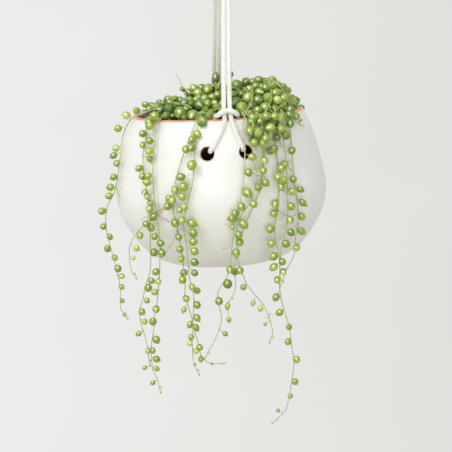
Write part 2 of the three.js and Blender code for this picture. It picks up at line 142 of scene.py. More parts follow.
def to_bowl(points):
    return (np.atleast_2d(points) - RIM_CENTRE) @ BOWL_TURN


def bearing(point):
    """The angle of a point of the bowl's frame, in degrees round from the front."""
    return math.degrees(math.atan2(point[0], -point[1]))


def unit(vector):
    return vector / np.linalg.norm(vector)


def run_along(path):
    """How far along a path each of its points lies."""
    steps = np.linalg.norm(np.diff(path, axis=0), axis=1)
    return np.concatenate([[0], np.cumsum(steps)])


SPLINE_STEPS = 24


def smooth_path(points, spacing):
    """Points every so often along the centripetal Catmull-Rom curve through the given points."""
    p = np.array(points, float)
    p = np.vstack([2 * p[0] - p[1], p, 2 * p[-1] - p[-2]])
    dense = []
    for i in range(1, len(p) - 2):
        p0, p1, p2, p3 = p[i - 1:i + 3]
        t1 = np.linalg.norm(p1 - p0) ** 0.5
        t2 = t1 + np.linalg.norm(p2 - p1) ** 0.5
        t3 = t2 + np.linalg.norm(p3 - p2) ** 0.5
        for t in np.linspace(t1, t2, SPLINE_STEPS, endpoint=False):
            a1 = (t1 - t) / t1 * p0 + t / t1 * p1
            a2 = (t2 - t) / (t2 - t1) * p1 + (t - t1) / (t2 - t1) * p2
            a3 = (t3 - t) / (t3 - t2) * p2 + (t - t2) / (t3 - t2) * p3
            b1 = (t2 - t) / t2 * a1 + t / t2 * a2
            b2 = (t3 - t) / (t3 - t1) * a2 + (t - t1) / (t3 - t1) * a3
            dense.append((t2 - t) / (t2 - t1) * b1 + (t - t1) / (t2 - t1) * b2)
    dense.append(p[-2])
    dense = np.array(dense)
    run = run_along(dense)
    stops = np.linspace(0, run[-1], max(2, int(round(run[-1] / spacing)) + 1))
    return np.column_stack([np.interp(stops, run, dense[:, k]) for k in range(3)])


def frames_along(path, start=(1.0, 0.0, 0.0)):
    """A normal and a binormal at each point of a path, carried along without twist."""
    tangents = np.gradient(path, axis=0)
    tangents /= np.linalg.norm(tangents, axis=1)[:, None]
    normal = np.array(start, float)
    normals = []
    for tangent in tangents:
        normal = unit(normal - tangent * normal.dot(tangent))
        normals.append(normal)
    normals = np.array(normals)
    return normals, np.cross(tangents, normals)


class Soup:
    """Vertices, faces and vertex colours gathered for one piece."""

    def __init__(self):
        self.vertices = []
        self.faces = []
        self.colours = []
        self.count = 0

    def add(self, vertices, faces, colours):
        vertices = np.asarray(vertices, float)
        self.vertices.append(vertices)
        self.faces.extend([tuple(i + self.count for i in face) for face in faces])
        self.colours.append(np.broadcast_to(np.asarray(colours, float), (len(vertices), 4)))
        self.count += len(vertices)

    def piece(self, name, materials, body, slot, replaces):
        return make_piece(
            name, np.vstack(self.vertices), self.faces, materials, body, replaces,
            np.vstack(self.colours),
        )


def red_paint(values):
    """Vertex colours that hold the given values in their red channel."""
    colours = np.zeros((len(values), 4))
    colours[:, 0] = values
    colours[:, 3] = 1
    return colours


def paint(mesh, colours):
    layer = mesh.color_attributes.new("paint", "FLOAT_COLOR", "POINT")
    layer.data.foreach_set("color", np.ascontiguousarray(colours, np.float32).ravel())


def make_mesh(name, vertices, faces, colours=None):
    """A smooth mesh object from millimetre vertices."""
    mesh = bpy.data.meshes.new(name)
    mesh.from_pydata((np.asarray(vertices) * MM).tolist(), [], faces)
    mesh.polygons.foreach_set("use_smooth", [True] * len(mesh.polygons))
    if colours is not None:
        paint(mesh, colours)
    mesh.update()
    return link(bpy.data.objects.new(name, mesh))


def make_piece(name, vertices, faces, materials, body, replaces, colours=None):
    obj = make_mesh(name, vertices, faces, colours)
    return settle(obj, materials, body, replaces)


def settle(obj, materials, body, replaces):
    """Gives a piece its materials and body, and hides the CAD node that it stands for."""
    for material in materials:
        obj.data.materials.append(material)
    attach(obj, body)
    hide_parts(replaces)
    return obj


def grid_faces(rows, columns, close_rows=False):
    """Faces between rows of vertices whose columns run all round."""
    faces = []
    for i in range(rows if close_rows else rows - 1):
        for j in range(columns):
            a = i * columns + j
            b = i * columns + (j + 1) % columns
            c = ((i + 1) % rows) * columns + (j + 1) % columns
            d = ((i + 1) % rows) * columns + j
            faces.append((a, b, c, d))
    return faces


def capped_faces(rows, columns):
    """Faces of a closed tube: its wall, then one face over each end."""
    last = (rows - 1) * columns
    ends = [tuple(range(columns - 1, -1, -1)), tuple(range(last, last + columns))]
    return grid_faces(rows, columns) + ends


def ring_angles(sides):
    return np.arange(sides) * 2 * math.pi / sides


def tube(path, radii, sides, start=(1.0, 0.0, 0.0)):
    """A closed tube round a path. It takes one radius, one for each point or one for each vertex."""
    normals, binormals = frames_along(path, start)
    angles = ring_angles(sides)[:, None]
    outward = np.cos(angles) * normals[:, None] + np.sin(angles) * binormals[:, None]
    radii = np.asarray(radii, float)
    if radii.ndim < 2:
        radii = np.broadcast_to(radii, (len(path),))[:, None]
    vertices = (path[:, None] + outward * radii[:, :, None]).reshape(-1, 3)
    return vertices, capped_faces(len(path), sides)


def revolve(profile, segments, ripple=None):
    """A closed solid of revolution from (radius, height) pairs that start and end on the axis."""
    inner = profile[1:-1]
    angles = ring_angles(segments)
    rows = []
    for radius, height in inner:
        r = radius + (ripple(height, angles) if ripple else np.zeros(segments))
        level = np.full(segments, height)
        rows.append(np.column_stack([r * np.sin(angles), -r * np.cos(angles), level]))
    vertices = np.vstack(rows + [[[0, 0, profile[0][1]]], [[0, 0, profile[-1][1]]]])
    faces = grid_faces(len(inner), segments)
    bottom = len(vertices) - 2
    last = (len(inner) - 1) * segments
    for j in range(segments):
        k = (j + 1) % segments
        faces.append((bottom, k, j))
        faces.append((bottom + 1, last + j, last + k))
    return vertices, faces


def cut(obj, cutters):
    """Takes the cutters out of the piece and removes them."""
    for cutter in cutters:
        step = obj.modifiers.new("cut", "BOOLEAN")
        step.operation = "DIFFERENCE"
        step.solver = "EXACT"
        step.object = cutter
    depsgraph = bpy.context.evaluated_depsgraph_get()
    mesh = bpy.data.meshes.new_from_object(obj.evaluated_get(depsgraph))
    obj.modifiers.clear()
    obj.data = mesh
    for cutter in cutters:
        bpy.data.objects.remove(cutter)


def vertex_array(obj):
    """The object's vertices in millimetres."""
    flat = np.zeros(len(obj.data.vertices) * 3, np.float32)
    obj.data.vertices.foreach_get("co", flat)
    return flat.reshape(-1, 3).astype(float) / MM


# ------------------------------------------------------------------- materials


class Shader:
    """A Principled material with short calls for the nodes that feed it."""

    def __init__(self, name, **fixed):
        self.material = bpy.data.materials.new(name)
        self.material.use_nodes = True
        self.tree = self.material.node_tree
        self.main = self.tree.nodes["Principled BSDF"]
        for socket, value in fixed.items():
            self.main.inputs[socket.replace("_", " ")].default_value = value

    def node(self, kind, **settings):
        made = self.tree.nodes.new(kind)
        for key, value in settings.items():
            setattr(made, key, value)
        return made

    def wire(self, source, target):
        self.tree.links.new(source, target)

    def position(self, stretch=(1.0, 1.0, 1.0)):
        texture = self.node("ShaderNodeTexCoord")
        mapping = self.node("ShaderNodeMapping")
        mapping.inputs["Scale"].default_value = stretch
        self.wire(texture.outputs["Object"], mapping.inputs["Vector"])
        return mapping.outputs["Vector"]

    def noise(self, scale, detail=3.0, vector=None, roughness=0.5):
        made = self.node("ShaderNodeTexNoise")
        made.inputs["Scale"].default_value = scale
        made.inputs["Detail"].default_value = detail
        made.inputs["Roughness"].default_value = roughness
        self.wire(vector or self.position(), made.inputs["Vector"])
        return made.outputs["Fac"]

    def paint(self):
        """The red, green and blue channels painted on the piece's vertices."""
        layer = self.node("ShaderNodeAttribute", attribute_name="paint")
        split = self.node("ShaderNodeSeparateColor")
        self.wire(layer.outputs["Color"], split.inputs["Color"])
        return split.outputs["Red"], split.outputs["Green"], split.outputs["Blue"]

    def ramp(self, value, *stops):
        made = self.node("ShaderNodeValToRGB")
        elements = made.color_ramp.elements
        while len(elements) < len(stops):
            elements.new(0.5)
        for element, (place, colour) in zip(elements, stops):
            element.position = place
            grey_or_rgb = colour if isinstance(colour, tuple) else (colour,) * 3
            element.color = (*grey_or_rgb, 1.0)
        self.wire(value, made.inputs["Fac"])
        return made.outputs["Color"]

    def math(self, operation, a, b):
        made = self.node("ShaderNodeMath", operation=operation)
        for socket, value in zip(made.inputs, (a, b)):
            if isinstance(value, (int, float)):
                socket.default_value = value
            else:
                self.wire(value, socket)
        return made.outputs["Value"]

    def stir(self, value, pattern, amount):
        """The value, raised and lowered by a pattern that runs from 0 to 1."""
        swing = self.math("MULTIPLY", self.math("SUBTRACT", pattern, 0.5), amount)
        return self.math("ADD", value, swing)

    def mix(self, factor, a, b, blend="MIX"):
        made = self.node("ShaderNodeMix", data_type="RGBA", blend_type=blend)
        for socket, value in ((made.inputs[0], factor), (made.inputs[6], a), (made.inputs[7], b)):
            if isinstance(value, tuple):
                socket.default_value = (*value, 1.0)
            elif isinstance(value, (int, float)):
                socket.default_value = value
            else:
                self.wire(value, socket)
        return made.outputs[2]

    def bump(self, height, strength, distance_mm, under=None):
        made = self.node("ShaderNodeBump")
        made.inputs["Strength"].default_value = strength
        made.inputs["Distance"].default_value = distance_mm * MM
        self.wire(height, made.inputs["Height"])
        if under is not None:
            self.wire(under, made.inputs["Normal"])
        return made.outputs["Normal"]

    def finish(self, colour=None, roughness=None, normal=None):
        for socket, source in (("Base Color", colour), ("Roughness", roughness), ("Normal", normal)):
            if source is not None:
                self.wire(source, self.main.inputs[socket])
        return self.material


def glaze_material():
    """White glaze over terracotta. Red paint says where the clay is bare."""
    s = Shader("white_glaze", Coat_Weight=0.06, Coat_Roughness=0.4, Specular_IOR_Level=0.2)
    bare, _, _ = s.paint()
    ragged = s.stir(bare, s.noise(650, 4), 0.55)
    mask = s.ramp(ragged, (0.44, 0.0), (0.56, 1.0))
    cloud = s.noise(22, 4)
    white = s.ramp(cloud, (0.3, (0.875, 0.862, 0.84)), (0.7, (0.9, 0.89, 0.872)))
    fleck = s.ramp(s.noise(900, 2), (0.70, 0.0), (0.78, 0.25))
    white = s.mix(fleck, white, (0.72, 0.67, 0.6))
    clay = s.ramp(s.noise(380, 5), (0.3, (0.66, 0.3, 0.18)), (0.7, (0.84, 0.46, 0.32)))
    colour = s.mix(mask, white, clay)
    dimple = s.bump(s.noise(140, 2), 0.06, 0.05)
    normal = s.bump(s.math("MULTIPLY", mask, s.noise(1500, 3)), 0.5, 0.15, dimple)
    gloss = s.ramp(s.noise(60, 3), (0.3, 0.34), (0.7, 0.42))
    roughness = s.math("ADD", s.math("MULTIPLY", mask, 0.5), gloss)
    return s.finish(colour, roughness, normal)


def cotton_material(name, light, dark):
    """Cotton yarn. Red paint is the depth of the grooves between its strands, darkened there as painted
    shade.
    """
    s = Shader(name, Sheen_Weight=0.3, Sheen_Roughness=0.5, Specular_IOR_Level=0.2,
               Subsurface_Weight=0.8, Subsurface_Radius=(1.0, 0.95, 0.85), Subsurface_Scale=0.005)
    groove_shade, _, _ = s.paint()
    fibre = s.noise(1400, 4, s.position((1.0, 1.0, 0.35)))
    base = s.mix(s.ramp(fibre, (0.3, 0.0), (0.7, 1.0)), dark, light)
    # Painted shade: the colour darkens into the grooves of the braid.
    colour = s.mix(s.math("MULTIPLY", groove_shade, 0.45), base, tuple(c * 0.62 for c in dark))
    colour = s.mix(s.math("MULTIPLY", s.noise(90, 2), 0.12), colour, (0.62, 0.54, 0.42))
    roughness = s.ramp(fibre, (0.2, 0.82), (0.8, 0.97))
    return s.finish(colour, roughness, s.bump(fibre, 0.7, 0.12))


def wood_material():
    """Oiled beech, its grain running straight across the ring."""
    s = Shader("oiled_beech", Coat_Weight=0.15, Coat_Roughness=0.3)
    grain = s.noise(260, 6, s.position((0.12, 1.0, 1.0)), 0.65)
    rings = s.noise(55, 2, s.position((0.25, 1.0, 1.0)))
    fleck = s.ramp(s.noise(1400, 2, s.position((0.15, 1.0, 1.0))), (0.62, 0.0), (0.7, 0.45))
    colour = s.ramp(
        grain, (0.25, (0.42, 0.25, 0.12)), (0.5, (0.58, 0.38, 0.2)), (0.75, (0.68, 0.48, 0.28)),
    )
    colour = s.mix(s.math("MULTIPLY", rings, 0.35), colour, (0.5, 0.3, 0.15))
    colour = s.mix(fleck, colour, (0.33, 0.19, 0.09))
    return s.finish(colour, s.ramp(grain, (0.2, 0.55), (0.8, 0.38)), s.bump(grain, 0.3, 0.1))


def nursery_material():
    """Scuffed black plastic."""
    s = Shader("black_polypropylene", Specular_IOR_Level=0.45)
    scuff = s.noise(120, 6, s.position((1.0, 1.0, 0.3)), 0.7)
    colour = s.ramp(scuff, (0.3, (0.045, 0.043, 0.04)), (0.75, (0.08, 0.076, 0.07)))
    roughness = s.ramp(scuff, (0.3, 0.42), (0.75, 0.7))
    return s.finish(colour, roughness, s.bump(s.noise(700, 2), 0.2, 0.05))


def soil_material():
    """Peaty mix. Red paint marks perlite."""
    s = Shader("potting_mix", Specular_IOR_Level=0.15)
    perlite, _, _ = s.paint()
    grain = s.noise(420, 6, roughness=0.7)
    peat = s.ramp(
        grain, (0.3, (0.012, 0.007, 0.004)), (0.55, (0.045, 0.026, 0.015)), (0.8, (0.11, 0.07, 0.04)),
    )
    colour = s.mix(perlite, peat, (0.62, 0.6, 0.55))
    return s.finish(colour, s.ramp(grain, (0.2, 0.98), (0.8, 0.8)), s.bump(grain, 0.9, 0.8))


def leaf_material():
    """A succulent leaf. Paint: red is how pale it is, green its window, blue its stalk and tip."""
    s = Shader("pearl_leaf", Coat_Weight=0.4, Coat_Roughness=0.38, Specular_IOR_Level=0.45,
               Subsurface_Weight=0.12, Subsurface_Radius=(0.8, 1.0, 0.2), Subsurface_Scale=0.0012)
    pale, window, stalk = s.paint()
    mottle = s.noise(330, 3)
    green = s.ramp(
        s.stir(pale, mottle, 0.35), (0.0, (0.07, 0.14, 0.006)), (0.35, (0.165, 0.275, 0.013)),
        (0.7, (0.33, 0.455, 0.04)), (1.0, (0.60, 0.69, 0.18)),
    )
    green = s.mix(s.math("MULTIPLY", window, 0.6), green, (0.12, 0.23, 0.01))
    colour = s.mix(stalk, green, (0.5, 0.55, 0.16))
    roughness = s.ramp(mottle, (0.3, 0.42), (0.7, 0.54))
    return s.finish(colour, roughness, s.bump(s.noise(1800, 2), 0.15, 0.05))


def stem_material():
    """Stems, their red paint running from fresh green to dry root."""
    s = Shader("stem", Subsurface_Weight=0.1, Subsurface_Radius=(0.8, 1.0, 0.4),
               Subsurface_Scale=0.0008)
    age, _, _ = s.paint()
    patch = s.noise(130, 3)
    colour = s.ramp(
        s.stir(age, patch, 0.4), (0.0, (0.33, 0.44, 0.11)), (0.4, (0.5, 0.52, 0.2)),
        (0.7, (0.5, 0.33, 0.2)), (1.0, (0.2, 0.1, 0.06)),
    )
    roughness = s.ramp(patch, (0.3, 0.45), (0.7, 0.65))
    return s.finish(colour, roughness, s.bump(s.noise(1600, 3), 0.4, 0.1))


def studio_material():
    """A pale cove that glows as painted light: brighter at the left and front, dimmer and warmer on the
    floor.
    """
    s = Shader("studio_sweep", Roughness=0.9, Specular_IOR_Level=0.1)
    split = s.node("ShaderNodeSeparateXYZ")
    s.wire(s.position(), split.inputs["Vector"])
    # Painted light: the glow fades from the left wall to the right.
    side = s.math("MULTIPLY", split.outputs["X"], 0.5 / STUDIO_RADIUS)
    painted_glow = s.ramp(
        s.math("ADD", side, 0.5), (0.0, (0.97, 0.97, 0.96)), (0.42, (0.86, 0.86, 0.85)),
        (0.58, (0.74, 0.74, 0.71)), (1.0, (0.56, 0.56, 0.545)),
    )
    # Painted light: the glow is a touch brighter towards the front.
    forward = s.math("MULTIPLY", split.outputs["Y"], 0.5 / STUDIO_RADIUS)
    front = s.ramp(s.math("ADD", forward, 0.5), (0.0, (0.98, 0.98, 0.98)), (0.5, (1.0, 1.0, 1.0)))
    # Painted shade: the floor glows dimmer and warmer than the walls.
    rise = s.math("MULTIPLY", s.math("SUBTRACT", split.outputs["Z"], STUDIO_FLOOR), 1.0 / STUDIO_SWEEP)
    floor = s.ramp(rise, (0.05, (0.60, 0.58, 0.51)), (0.5, (1.0, 1.0, 1.0)))
    painted_glow = s.mix(1.0, s.mix(1.0, painted_glow, front, "MULTIPLY"), floor, "MULTIPLY")
    s.wire(painted_glow, s.main.inputs["Emission Color"])
    s.main.inputs["Emission Strength"].default_value = STUDIO_GLOW
    return s.finish(s.ramp(s.noise(3, 2), (0.3, (0.16, 0.16, 0.16)), (0.7, (0.18, 0.18, 0.18))))


# ---------------------------------------------------------------------- camera

VIEW_TARGET = np.array([4.7, 0.0, RIM_CENTRE[2] - 98.8])
VIEW_DISTANCE = 1800.0
VIEW_ELEVATION = math.radians(8.6)
VIEW_WIDTH = 388.3  # of the picture, at the target
SENSOR_WIDTH = 36.0


def add_camera():
    back = np.array([0.0, -math.cos(VIEW_ELEVATION), math.sin(VIEW_ELEVATION)])
    camera = link(bpy.data.objects.new("camera", bpy.data.cameras.new("camera")))
    camera.data.sensor_width = SENSOR_WIDTH
    camera.data.lens = SENSOR_WIDTH * VIEW_DISTANCE / VIEW_WIDTH
    camera.data.clip_end = 100.0
    camera.location = (VIEW_TARGET + back * VIEW_DISTANCE) * MM
    camera.rotation_euler = Vector(-back).to_track_quat("-Z", "Y").to_euler()
    bpy.context.scene.camera = camera


# ----------------------------------------------------------------------- cords

# Half of the hitch, from where a strand passes under the bight, down outside the bowl, in through its
# hole, up inside and over the rim to the bight: distance aside from the middle, radius and height in
# the bowl's frame.
HITCH = [
    (2.5, 70.9, 6), (2.8, 75, 0), (4.5, 77.7, -5), (7.3, 80.7, -12), (10.6, 83.3, -18.4),
    (12.7, 84.4, -22), (13.7, 82.7, -24.2), (13.3, 79.2, -25), (12.9, 75.6, -24.8),
    (12.8, 72.7, -21.6), (12.7, 71.4, -17),
    (12.1, 69.2, -11), (11, 66.7, -5), (9.8, 64.6, 0), (9.1, 66.3, 2.3), (8.7, 69.4, 3),
    (7.8, 72.5, 3.6), (6.3, 75, 5.1), (3.4, 75.8, 6.8),
]
BIGHT_MIDDLE = (0, 75.2, 7.2)
STRAND_TOP = (0, 70.9, 6)  # midway between the strands where they pass under the bight

# One strand from the ring to its hitch: distance down, offset across and place beside. The two
# strands come off the front and the back of the ring and make a quarter turn to lie side by side.
LEAVING_RING = (6, -6.4, 0)
QUARTER_TURN = [(10.5, -3.6, 1.5), (WHIPPING_START - 1.8, -0.4, STRAND_OFFSET)]
BELOW_WHIPPING = (WHIPPING_START + WHIPPING_LENGTH + 2, 0, STRAND_OFFSET)


class Loop:
    """A closed loop of cord that hangs from the ring and is hitched to a pair of holes."""

    def __init__(self, x, holes, bight):
        self.holes = holes
        self.bight = bight
        self.centre = np.array([x, 0.0, -RING_DROP - RING_RADIUS])
        down = self.hitch_point(1, STRAND_TOP) - self.centre
        down[0] = 0.0
        self.down = unit(down)
        self.across = np.array([0.0, -self.down[2], self.down[1]])
        self.beside = np.array([1.0 if self.down[1] < 0 else -1.0, 0.0, 0.0])

    def hitch_point(self, mirror, place):
        """The hitch leans from the middle of the holes to the middle of the bight as it rises."""
        side, radius, height = place
        rise = min(1.0, max(0.0, (height + HOLE_DEPTH) / HOLE_DEPTH))
        middle = self.holes + (self.bight - self.holes) * rise
        return from_bowl(polar(middle + math.degrees(mirror * side / radius), radius, height))[0]

    def along(self, distance, offset, side=0.0):
        return self.centre + self.down * distance + self.across * offset + self.beside * side

    def strand(self, mirror, place):
        distance, offset, side = place
        return self.along(distance, mirror * offset, mirror * side)

    def points(self):
        middle = WHIPPING_START + WHIPPING_LENGTH / 2
        points = [self.strand(-1, (middle - 0.15, 0, STRAND_OFFSET))]
        points += [self.strand(-1, place) for place in (*QUARTER_TURN[::-1], LEAVING_RING)]
        for turn in range(0, 181, 30):
            angle = math.radians(turn)
            points.append(self.along(-WRAP_RADIUS * math.sin(angle), WRAP_RADIUS * math.cos(angle)))
        points += [self.strand(1, place) for place in (LEAVING_RING, *QUARTER_TURN, BELOW_WHIPPING)]
        points += [self.hitch_point(1, place) for place in (*HITCH, BIGHT_MIDDLE)]
        points += [self.hitch_point(-1, place) for place in HITCH[::-1]]
        points += [self.strand(-1, place) for place in (BELOW_WHIPPING, (middle + 0.15, 0, STRAND_OFFSET))]
        return points


CORD_SIDES = 28
CORD_RING_STEP = 0.55
BRAID_CARRIERS = 4  # diamonds round the cord
BRAID_PITCH = 7.5  # length of cord in one full turn of a carrier
BRAID_DEPTH = 0.16


def add_cord(name, loop, material):
    """A round braided cotton cord along its loop, with the diamonds of its braid in the mesh."""
    path = smooth_path(loop.points(), CORD_RING_STEP)
    run = run_along(path)
    turn = run[:, None] * 2 * math.pi / BRAID_PITCH
    carrier = BRAID_CARRIERS * ring_angles(CORD_SIDES)[None] / 2
    lay = np.sqrt(np.abs(np.sin(carrier + turn)) * np.abs(np.sin(carrier - turn)))
    radii = CORD_DIAMETER / 2 - BRAID_DEPTH + BRAID_DEPTH * lay
    vertices, faces = tube(path, radii, CORD_SIDES)
    node = name.replace("braided_", "")
    # Red paint is the depth of the braid's grooves, which the cotton darkens as painted shade.
    piece = make_piece(
        name, vertices, faces, [material], "planter", node, red_paint(1 - lay.ravel()),
    )


THREAD_RADIUS = 0.42
THREAD_STEPS = 40  # points for each turn of the thread


def add_whipping(name, loop, material):
    """Thread wound tightly round both strands of a loop."""
    turns = int(WHIPPING_LENGTH / (2 * THREAD_RADIUS))
    reach = CORD_DIAMETER / 2 + THREAD_RADIUS
    bend = math.pi * reach
    straight = 2 * STRAND_OFFSET
    girth = 2 * bend + 2 * straight
    points = []
    for i in range(turns * THREAD_STEPS + 1):
        place = (i % THREAD_STEPS) / THREAD_STEPS * girth
        if place < bend:
            angle = place / reach - math.pi / 2
            beside, across = STRAND_OFFSET + reach * math.cos(angle), reach * math.sin(angle)
        elif place < bend + straight:
            beside, across = STRAND_OFFSET - (place - bend), reach
        elif place < 2 * bend + straight:
            angle = (place - bend - straight) / reach + math.pi / 2
            beside, across = -STRAND_OFFSET + reach * math.cos(angle), reach * math.sin(angle)
        else:
            beside, across = -STRAND_OFFSET + (place - 2 * bend - straight), -reach
        down = WHIPPING_START + THREAD_RADIUS + 2 * THREAD_RADIUS * i / THREAD_STEPS
        points.append(loop.along(down, across, beside))
    vertices, faces = tube(np.array(points), THREAD_RADIUS, sides=8, start=(0.0, 0.0, 1.0))
    node = name.replace("wound_", "")
    make_piece(
        name, vertices, faces, [material], "planter", node, red_paint(np.zeros(len(vertices))),
    )


# ------------------------------------------------------------------------ ring


RING_AROUND, RING_ACROSS = 144, 40
RING_UNDERSIZE = 0.12
RING_WOBBLE = 0.1


def add_ring(material):
    """A turned wooden ring, very slightly uneven in section, as turned rings are."""
    vertices = []
    for a in ring_angles(RING_AROUND):
        section = RING_SECTION - RING_UNDERSIZE + RING_WOBBLE * math.sin(3 * a + 1.0)
        for b in ring_angles(RING_ACROSS):
            r = RING_RADIUS + section * math.cos(b)
            vertices.append((r * math.cos(a), section * math.sin(b), r * math.sin(a) - RING_DROP))
    faces = [face[::-1] for face in grid_faces(RING_AROUND, RING_ACROSS, close_rows=True)]
    make_piece("turned_ring", vertices, faces, [material], "ring", "hanging_ring")


# ------------------------------------------------------------------------ bowl

RADIUS_BY_DEPTH = [(0, RIM_RADIUS)] + [(depth, radius) for radius, depth in BOWL_OUTLINE]
OUTER_EASE = 1.6  # radii of the rim's rounded edges
INNER_EASE = 1.2
BOWL_SEGMENTS = 180
BOWL_RIPPLE = 0.2
BARE_RIM = 2.5  # depth over which the glaze ends in bare clay


def bowl_radius(depth):
    """The bowl's outer radius at a depth below its rim."""
    return interpolate(RADIUS_BY_DEPTH, depth)


def smooth_outline():
    """The bowl's outside from its foot to just under the rim, in small steps."""
    points = [(FOOT_RADIUS + 1.5, 0.0, -BOWL_HEIGHT + 0.2)]
    points += [(radius, 0.0, -depth) for radius, depth in reversed(BOWL_OUTLINE)]
    return [(p[0], p[2]) for p in smooth_path(points, 1.8)]


def rounded_edge(radius, ease, start, stop):
    """An arc of the rim's section, every 15 degrees from start to stop, its top at height 0."""
    angles = [math.radians(turn) for turn in range(start, stop + 1, 15)]
    return [(radius + ease * math.cos(a), -ease + ease * math.sin(a)) for a in angles]


def bowl_profile():
    """The bowl's section from the axis under its foot, over the rim, to the axis on its floor."""
    floor = -(BOWL_HEIGHT - FLOOR_THICKNESS)
    foot = -BOWL_HEIGHT
    outside = smooth_outline()
    rim = rounded_edge(RIM_RADIUS - 1.5, OUTER_EASE, 15, 90)
    rim += rounded_edge(RIM_RADIUS - BOWL_WALL + 2, INNER_EASE, 90, 180)
    inside = [(r - BOWL_WALL, h) for r, h in reversed(outside) if -floor - 9 > -h > 4]
    turn_in = [(FOOT_RADIUS + 11, floor + 3.5), (FOOT_RADIUS + 6, floor + 0.9), (FOOT_RADIUS, floor)]
    base = [(0, foot), (20, foot), (FOOT_RADIUS - 0.6, foot), (FOOT_RADIUS + 0.6, foot + 0.02)]
    return base + outside + rim + inside + turn_in + [(20, floor), (0, floor)]


def bowl_ripple(height, angles):
    """Faint unevenness left by the mould and the hand that finished it, none near the rim."""
    if height >= -3:
        return np.zeros(len(angles))
    around = [Vector((math.sin(a) * 1.1, math.cos(a) * 1.1, height * 0.018)) for a in angles]
    return np.array([BOWL_RIPPLE * noise.noise(place) for place in around])


def hole_axis(angle):
    """The direction in which a cord hole leaves the bowl."""
    return unit(polar(angle, 1, HOLE_SLOPE))


def hole_cutter(angle):
    """A cutter with flared ends, which leaves the hole's edges rounded as wiped clay is."""
    flare = [
        (1.6, -BOWL_WALL - 6), (1.2, -BOWL_WALL - 0.3), (0.25, -BOWL_WALL + 0.7), (0, -BOWL_WALL + 1.6),
        (0, -1.6), (0.25, -0.7), (1.0, 0.2), (1.6, 3), (2, 6),
    ]
    profile = [(0, flare[0][1])] + [(HOLE_RADIUS + wider, h) for wider, h in flare] + [(0, flare[-1][1])]
    vertices, faces = revolve(profile, 40)
    turn = np.array(Vector((0, 0, 1)).rotation_difference(Vector(hole_axis(angle))).to_matrix())
    centre = polar(angle, bowl_radius(HOLE_DEPTH), -HOLE_DEPTH)
    return make_mesh("cutter", from_bowl(vertices @ turn.T + centre), faces)


def bare_clay(places, hole_angles):
    """How bare the clay is at places of the bowl's frame: at the rim, under the foot, in the holes."""
    height = places[:, 2]
    radius = np.hypot(places[:, 0], places[:, 1])
    bare = np.clip(1.0 + height / BARE_RIM, 0, 1)
    bare = np.where(radius < RIM_RADIUS - BOWL_WALL + 1.4, np.clip(0.62 + height * 0.3, 0, 1), bare)
    bare = np.where(height < -BOWL_HEIGHT + 0.5, 1.0, bare)
    for angle in hole_angles:
        axis = hole_axis(angle)
        away = places - polar(angle, bowl_radius(HOLE_DEPTH), -HOLE_DEPTH)
        depth = away @ axis
        across = np.linalg.norm(away - np.outer(depth, axis), axis=1)
        in_hole = (across < HOLE_RADIUS + 0.6) & (depth < 1) & (depth > -BOWL_WALL - 1)
        bare = np.where(in_hole, 0.75, bare)
    return bare


def add_bowl(material):
    vertices, faces = revolve(bowl_profile(), BOWL_SEGMENTS, bowl_ripple)
    bowl = make_mesh("glazed_bowl", from_bowl(vertices), faces)
    middles = [loop["holes"] for loop in (FRONT_LOOP, REAR_LOOP)]
    angles = [middle + side for middle in middles for side in (-HOLE_HALF_ANGLE, HOLE_HALF_ANGLE)]
    cut(bowl, [hole_cutter(angle) for angle in angles])
    bowl.data.set_sharp_from_angle(angle=math.radians(50))
    paint(bowl.data, red_paint(bare_clay(to_bowl(vertex_array(bowl)), angles)))
    settle(bowl, [material], "planter", "planter_pot")


# ----------------------------------------------------------- nursery pot and mix


STIFFENING_STEP = 0.5
STEP_SPACING = 12


def nursery_radius(depth):
    """The nursery pot's outer radius, which narrows evenly towards its foot."""
    share = (depth - NURSERY_TOP) / (NURSERY_BOTTOM - NURSERY_TOP)
    return NURSERY_TOP_RADIUS + (NURSERY_FOOT_RADIUS - NURSERY_TOP_RADIUS) * share


def stepped_radius(depth):
    """The nursery pot's wall with its shallow stiffening steps."""
    return nursery_radius(depth) - (STIFFENING_STEP if (depth // STEP_SPACING) % 2 else 0.0)


def nursery_profile():
    """The nursery pot's section from the axis under its foot, over its lip, to its floor."""
    foot = -NURSERY_BOTTOM
    floor = NURSERY_BOTTOM - NURSERY_WALL
    lip = NURSERY_TOP + NURSERY_LIP_HEIGHT
    mouth = NURSERY_TOP_RADIUS - NURSERY_WALL
    profile = [(0, foot + 1), (38, foot + 1), (39, foot)]
    profile += [(NURSERY_FOOT_RADIUS - 1, foot), (NURSERY_FOOT_RADIUS, foot + 1)]
    for depth in range(int(NURSERY_BOTTOM) - 4, int(lip) + 1, -4):
        profile.append((stepped_radius(depth), -depth))
    return profile + [
        (nursery_radius(lip), -lip - 0.4), (NURSERY_LIP_RADIUS - 0.8, -lip),
        (NURSERY_LIP_RADIUS, -lip + 0.6), (NURSERY_LIP_RADIUS, -NURSERY_TOP - 0.7),
        (NURSERY_LIP_RADIUS - 0.7, -NURSERY_TOP), (mouth + 0.6, -NURSERY_TOP),
        (mouth, -NURSERY_TOP - 0.6), (nursery_radius(floor) - NURSERY_WALL, -floor - 0.1),
        (0, -floor + 1),
    ]


def add_nursery_pot(material):
    """A thin blown pot with a rolled lip, steps in its wall and drain holes."""
    vertices, faces = revolve(nursery_profile(), 120)
    pot = make_mesh("nursery_shell", from_bowl(vertices), faces)
    drill, drill_faces = revolve([(0, -4), (DRAIN_RADIUS, -4), (DRAIN_RADIUS, 4), (0, 4)], 24)
    cutters = []
    for i in range(DRAIN_HOLES):
        centre = polar(360 * i / DRAIN_HOLES, DRAIN_CIRCLE, -NURSERY_BOTTOM)
        cutters.append(make_mesh("cutter", from_bowl(drill + centre), drill_faces))
    cut(pot, cutters)
    pot.data.set_sharp_from_angle(angle=math.radians(40))
    settle(pot, [material], "planter", "nursery_pot")


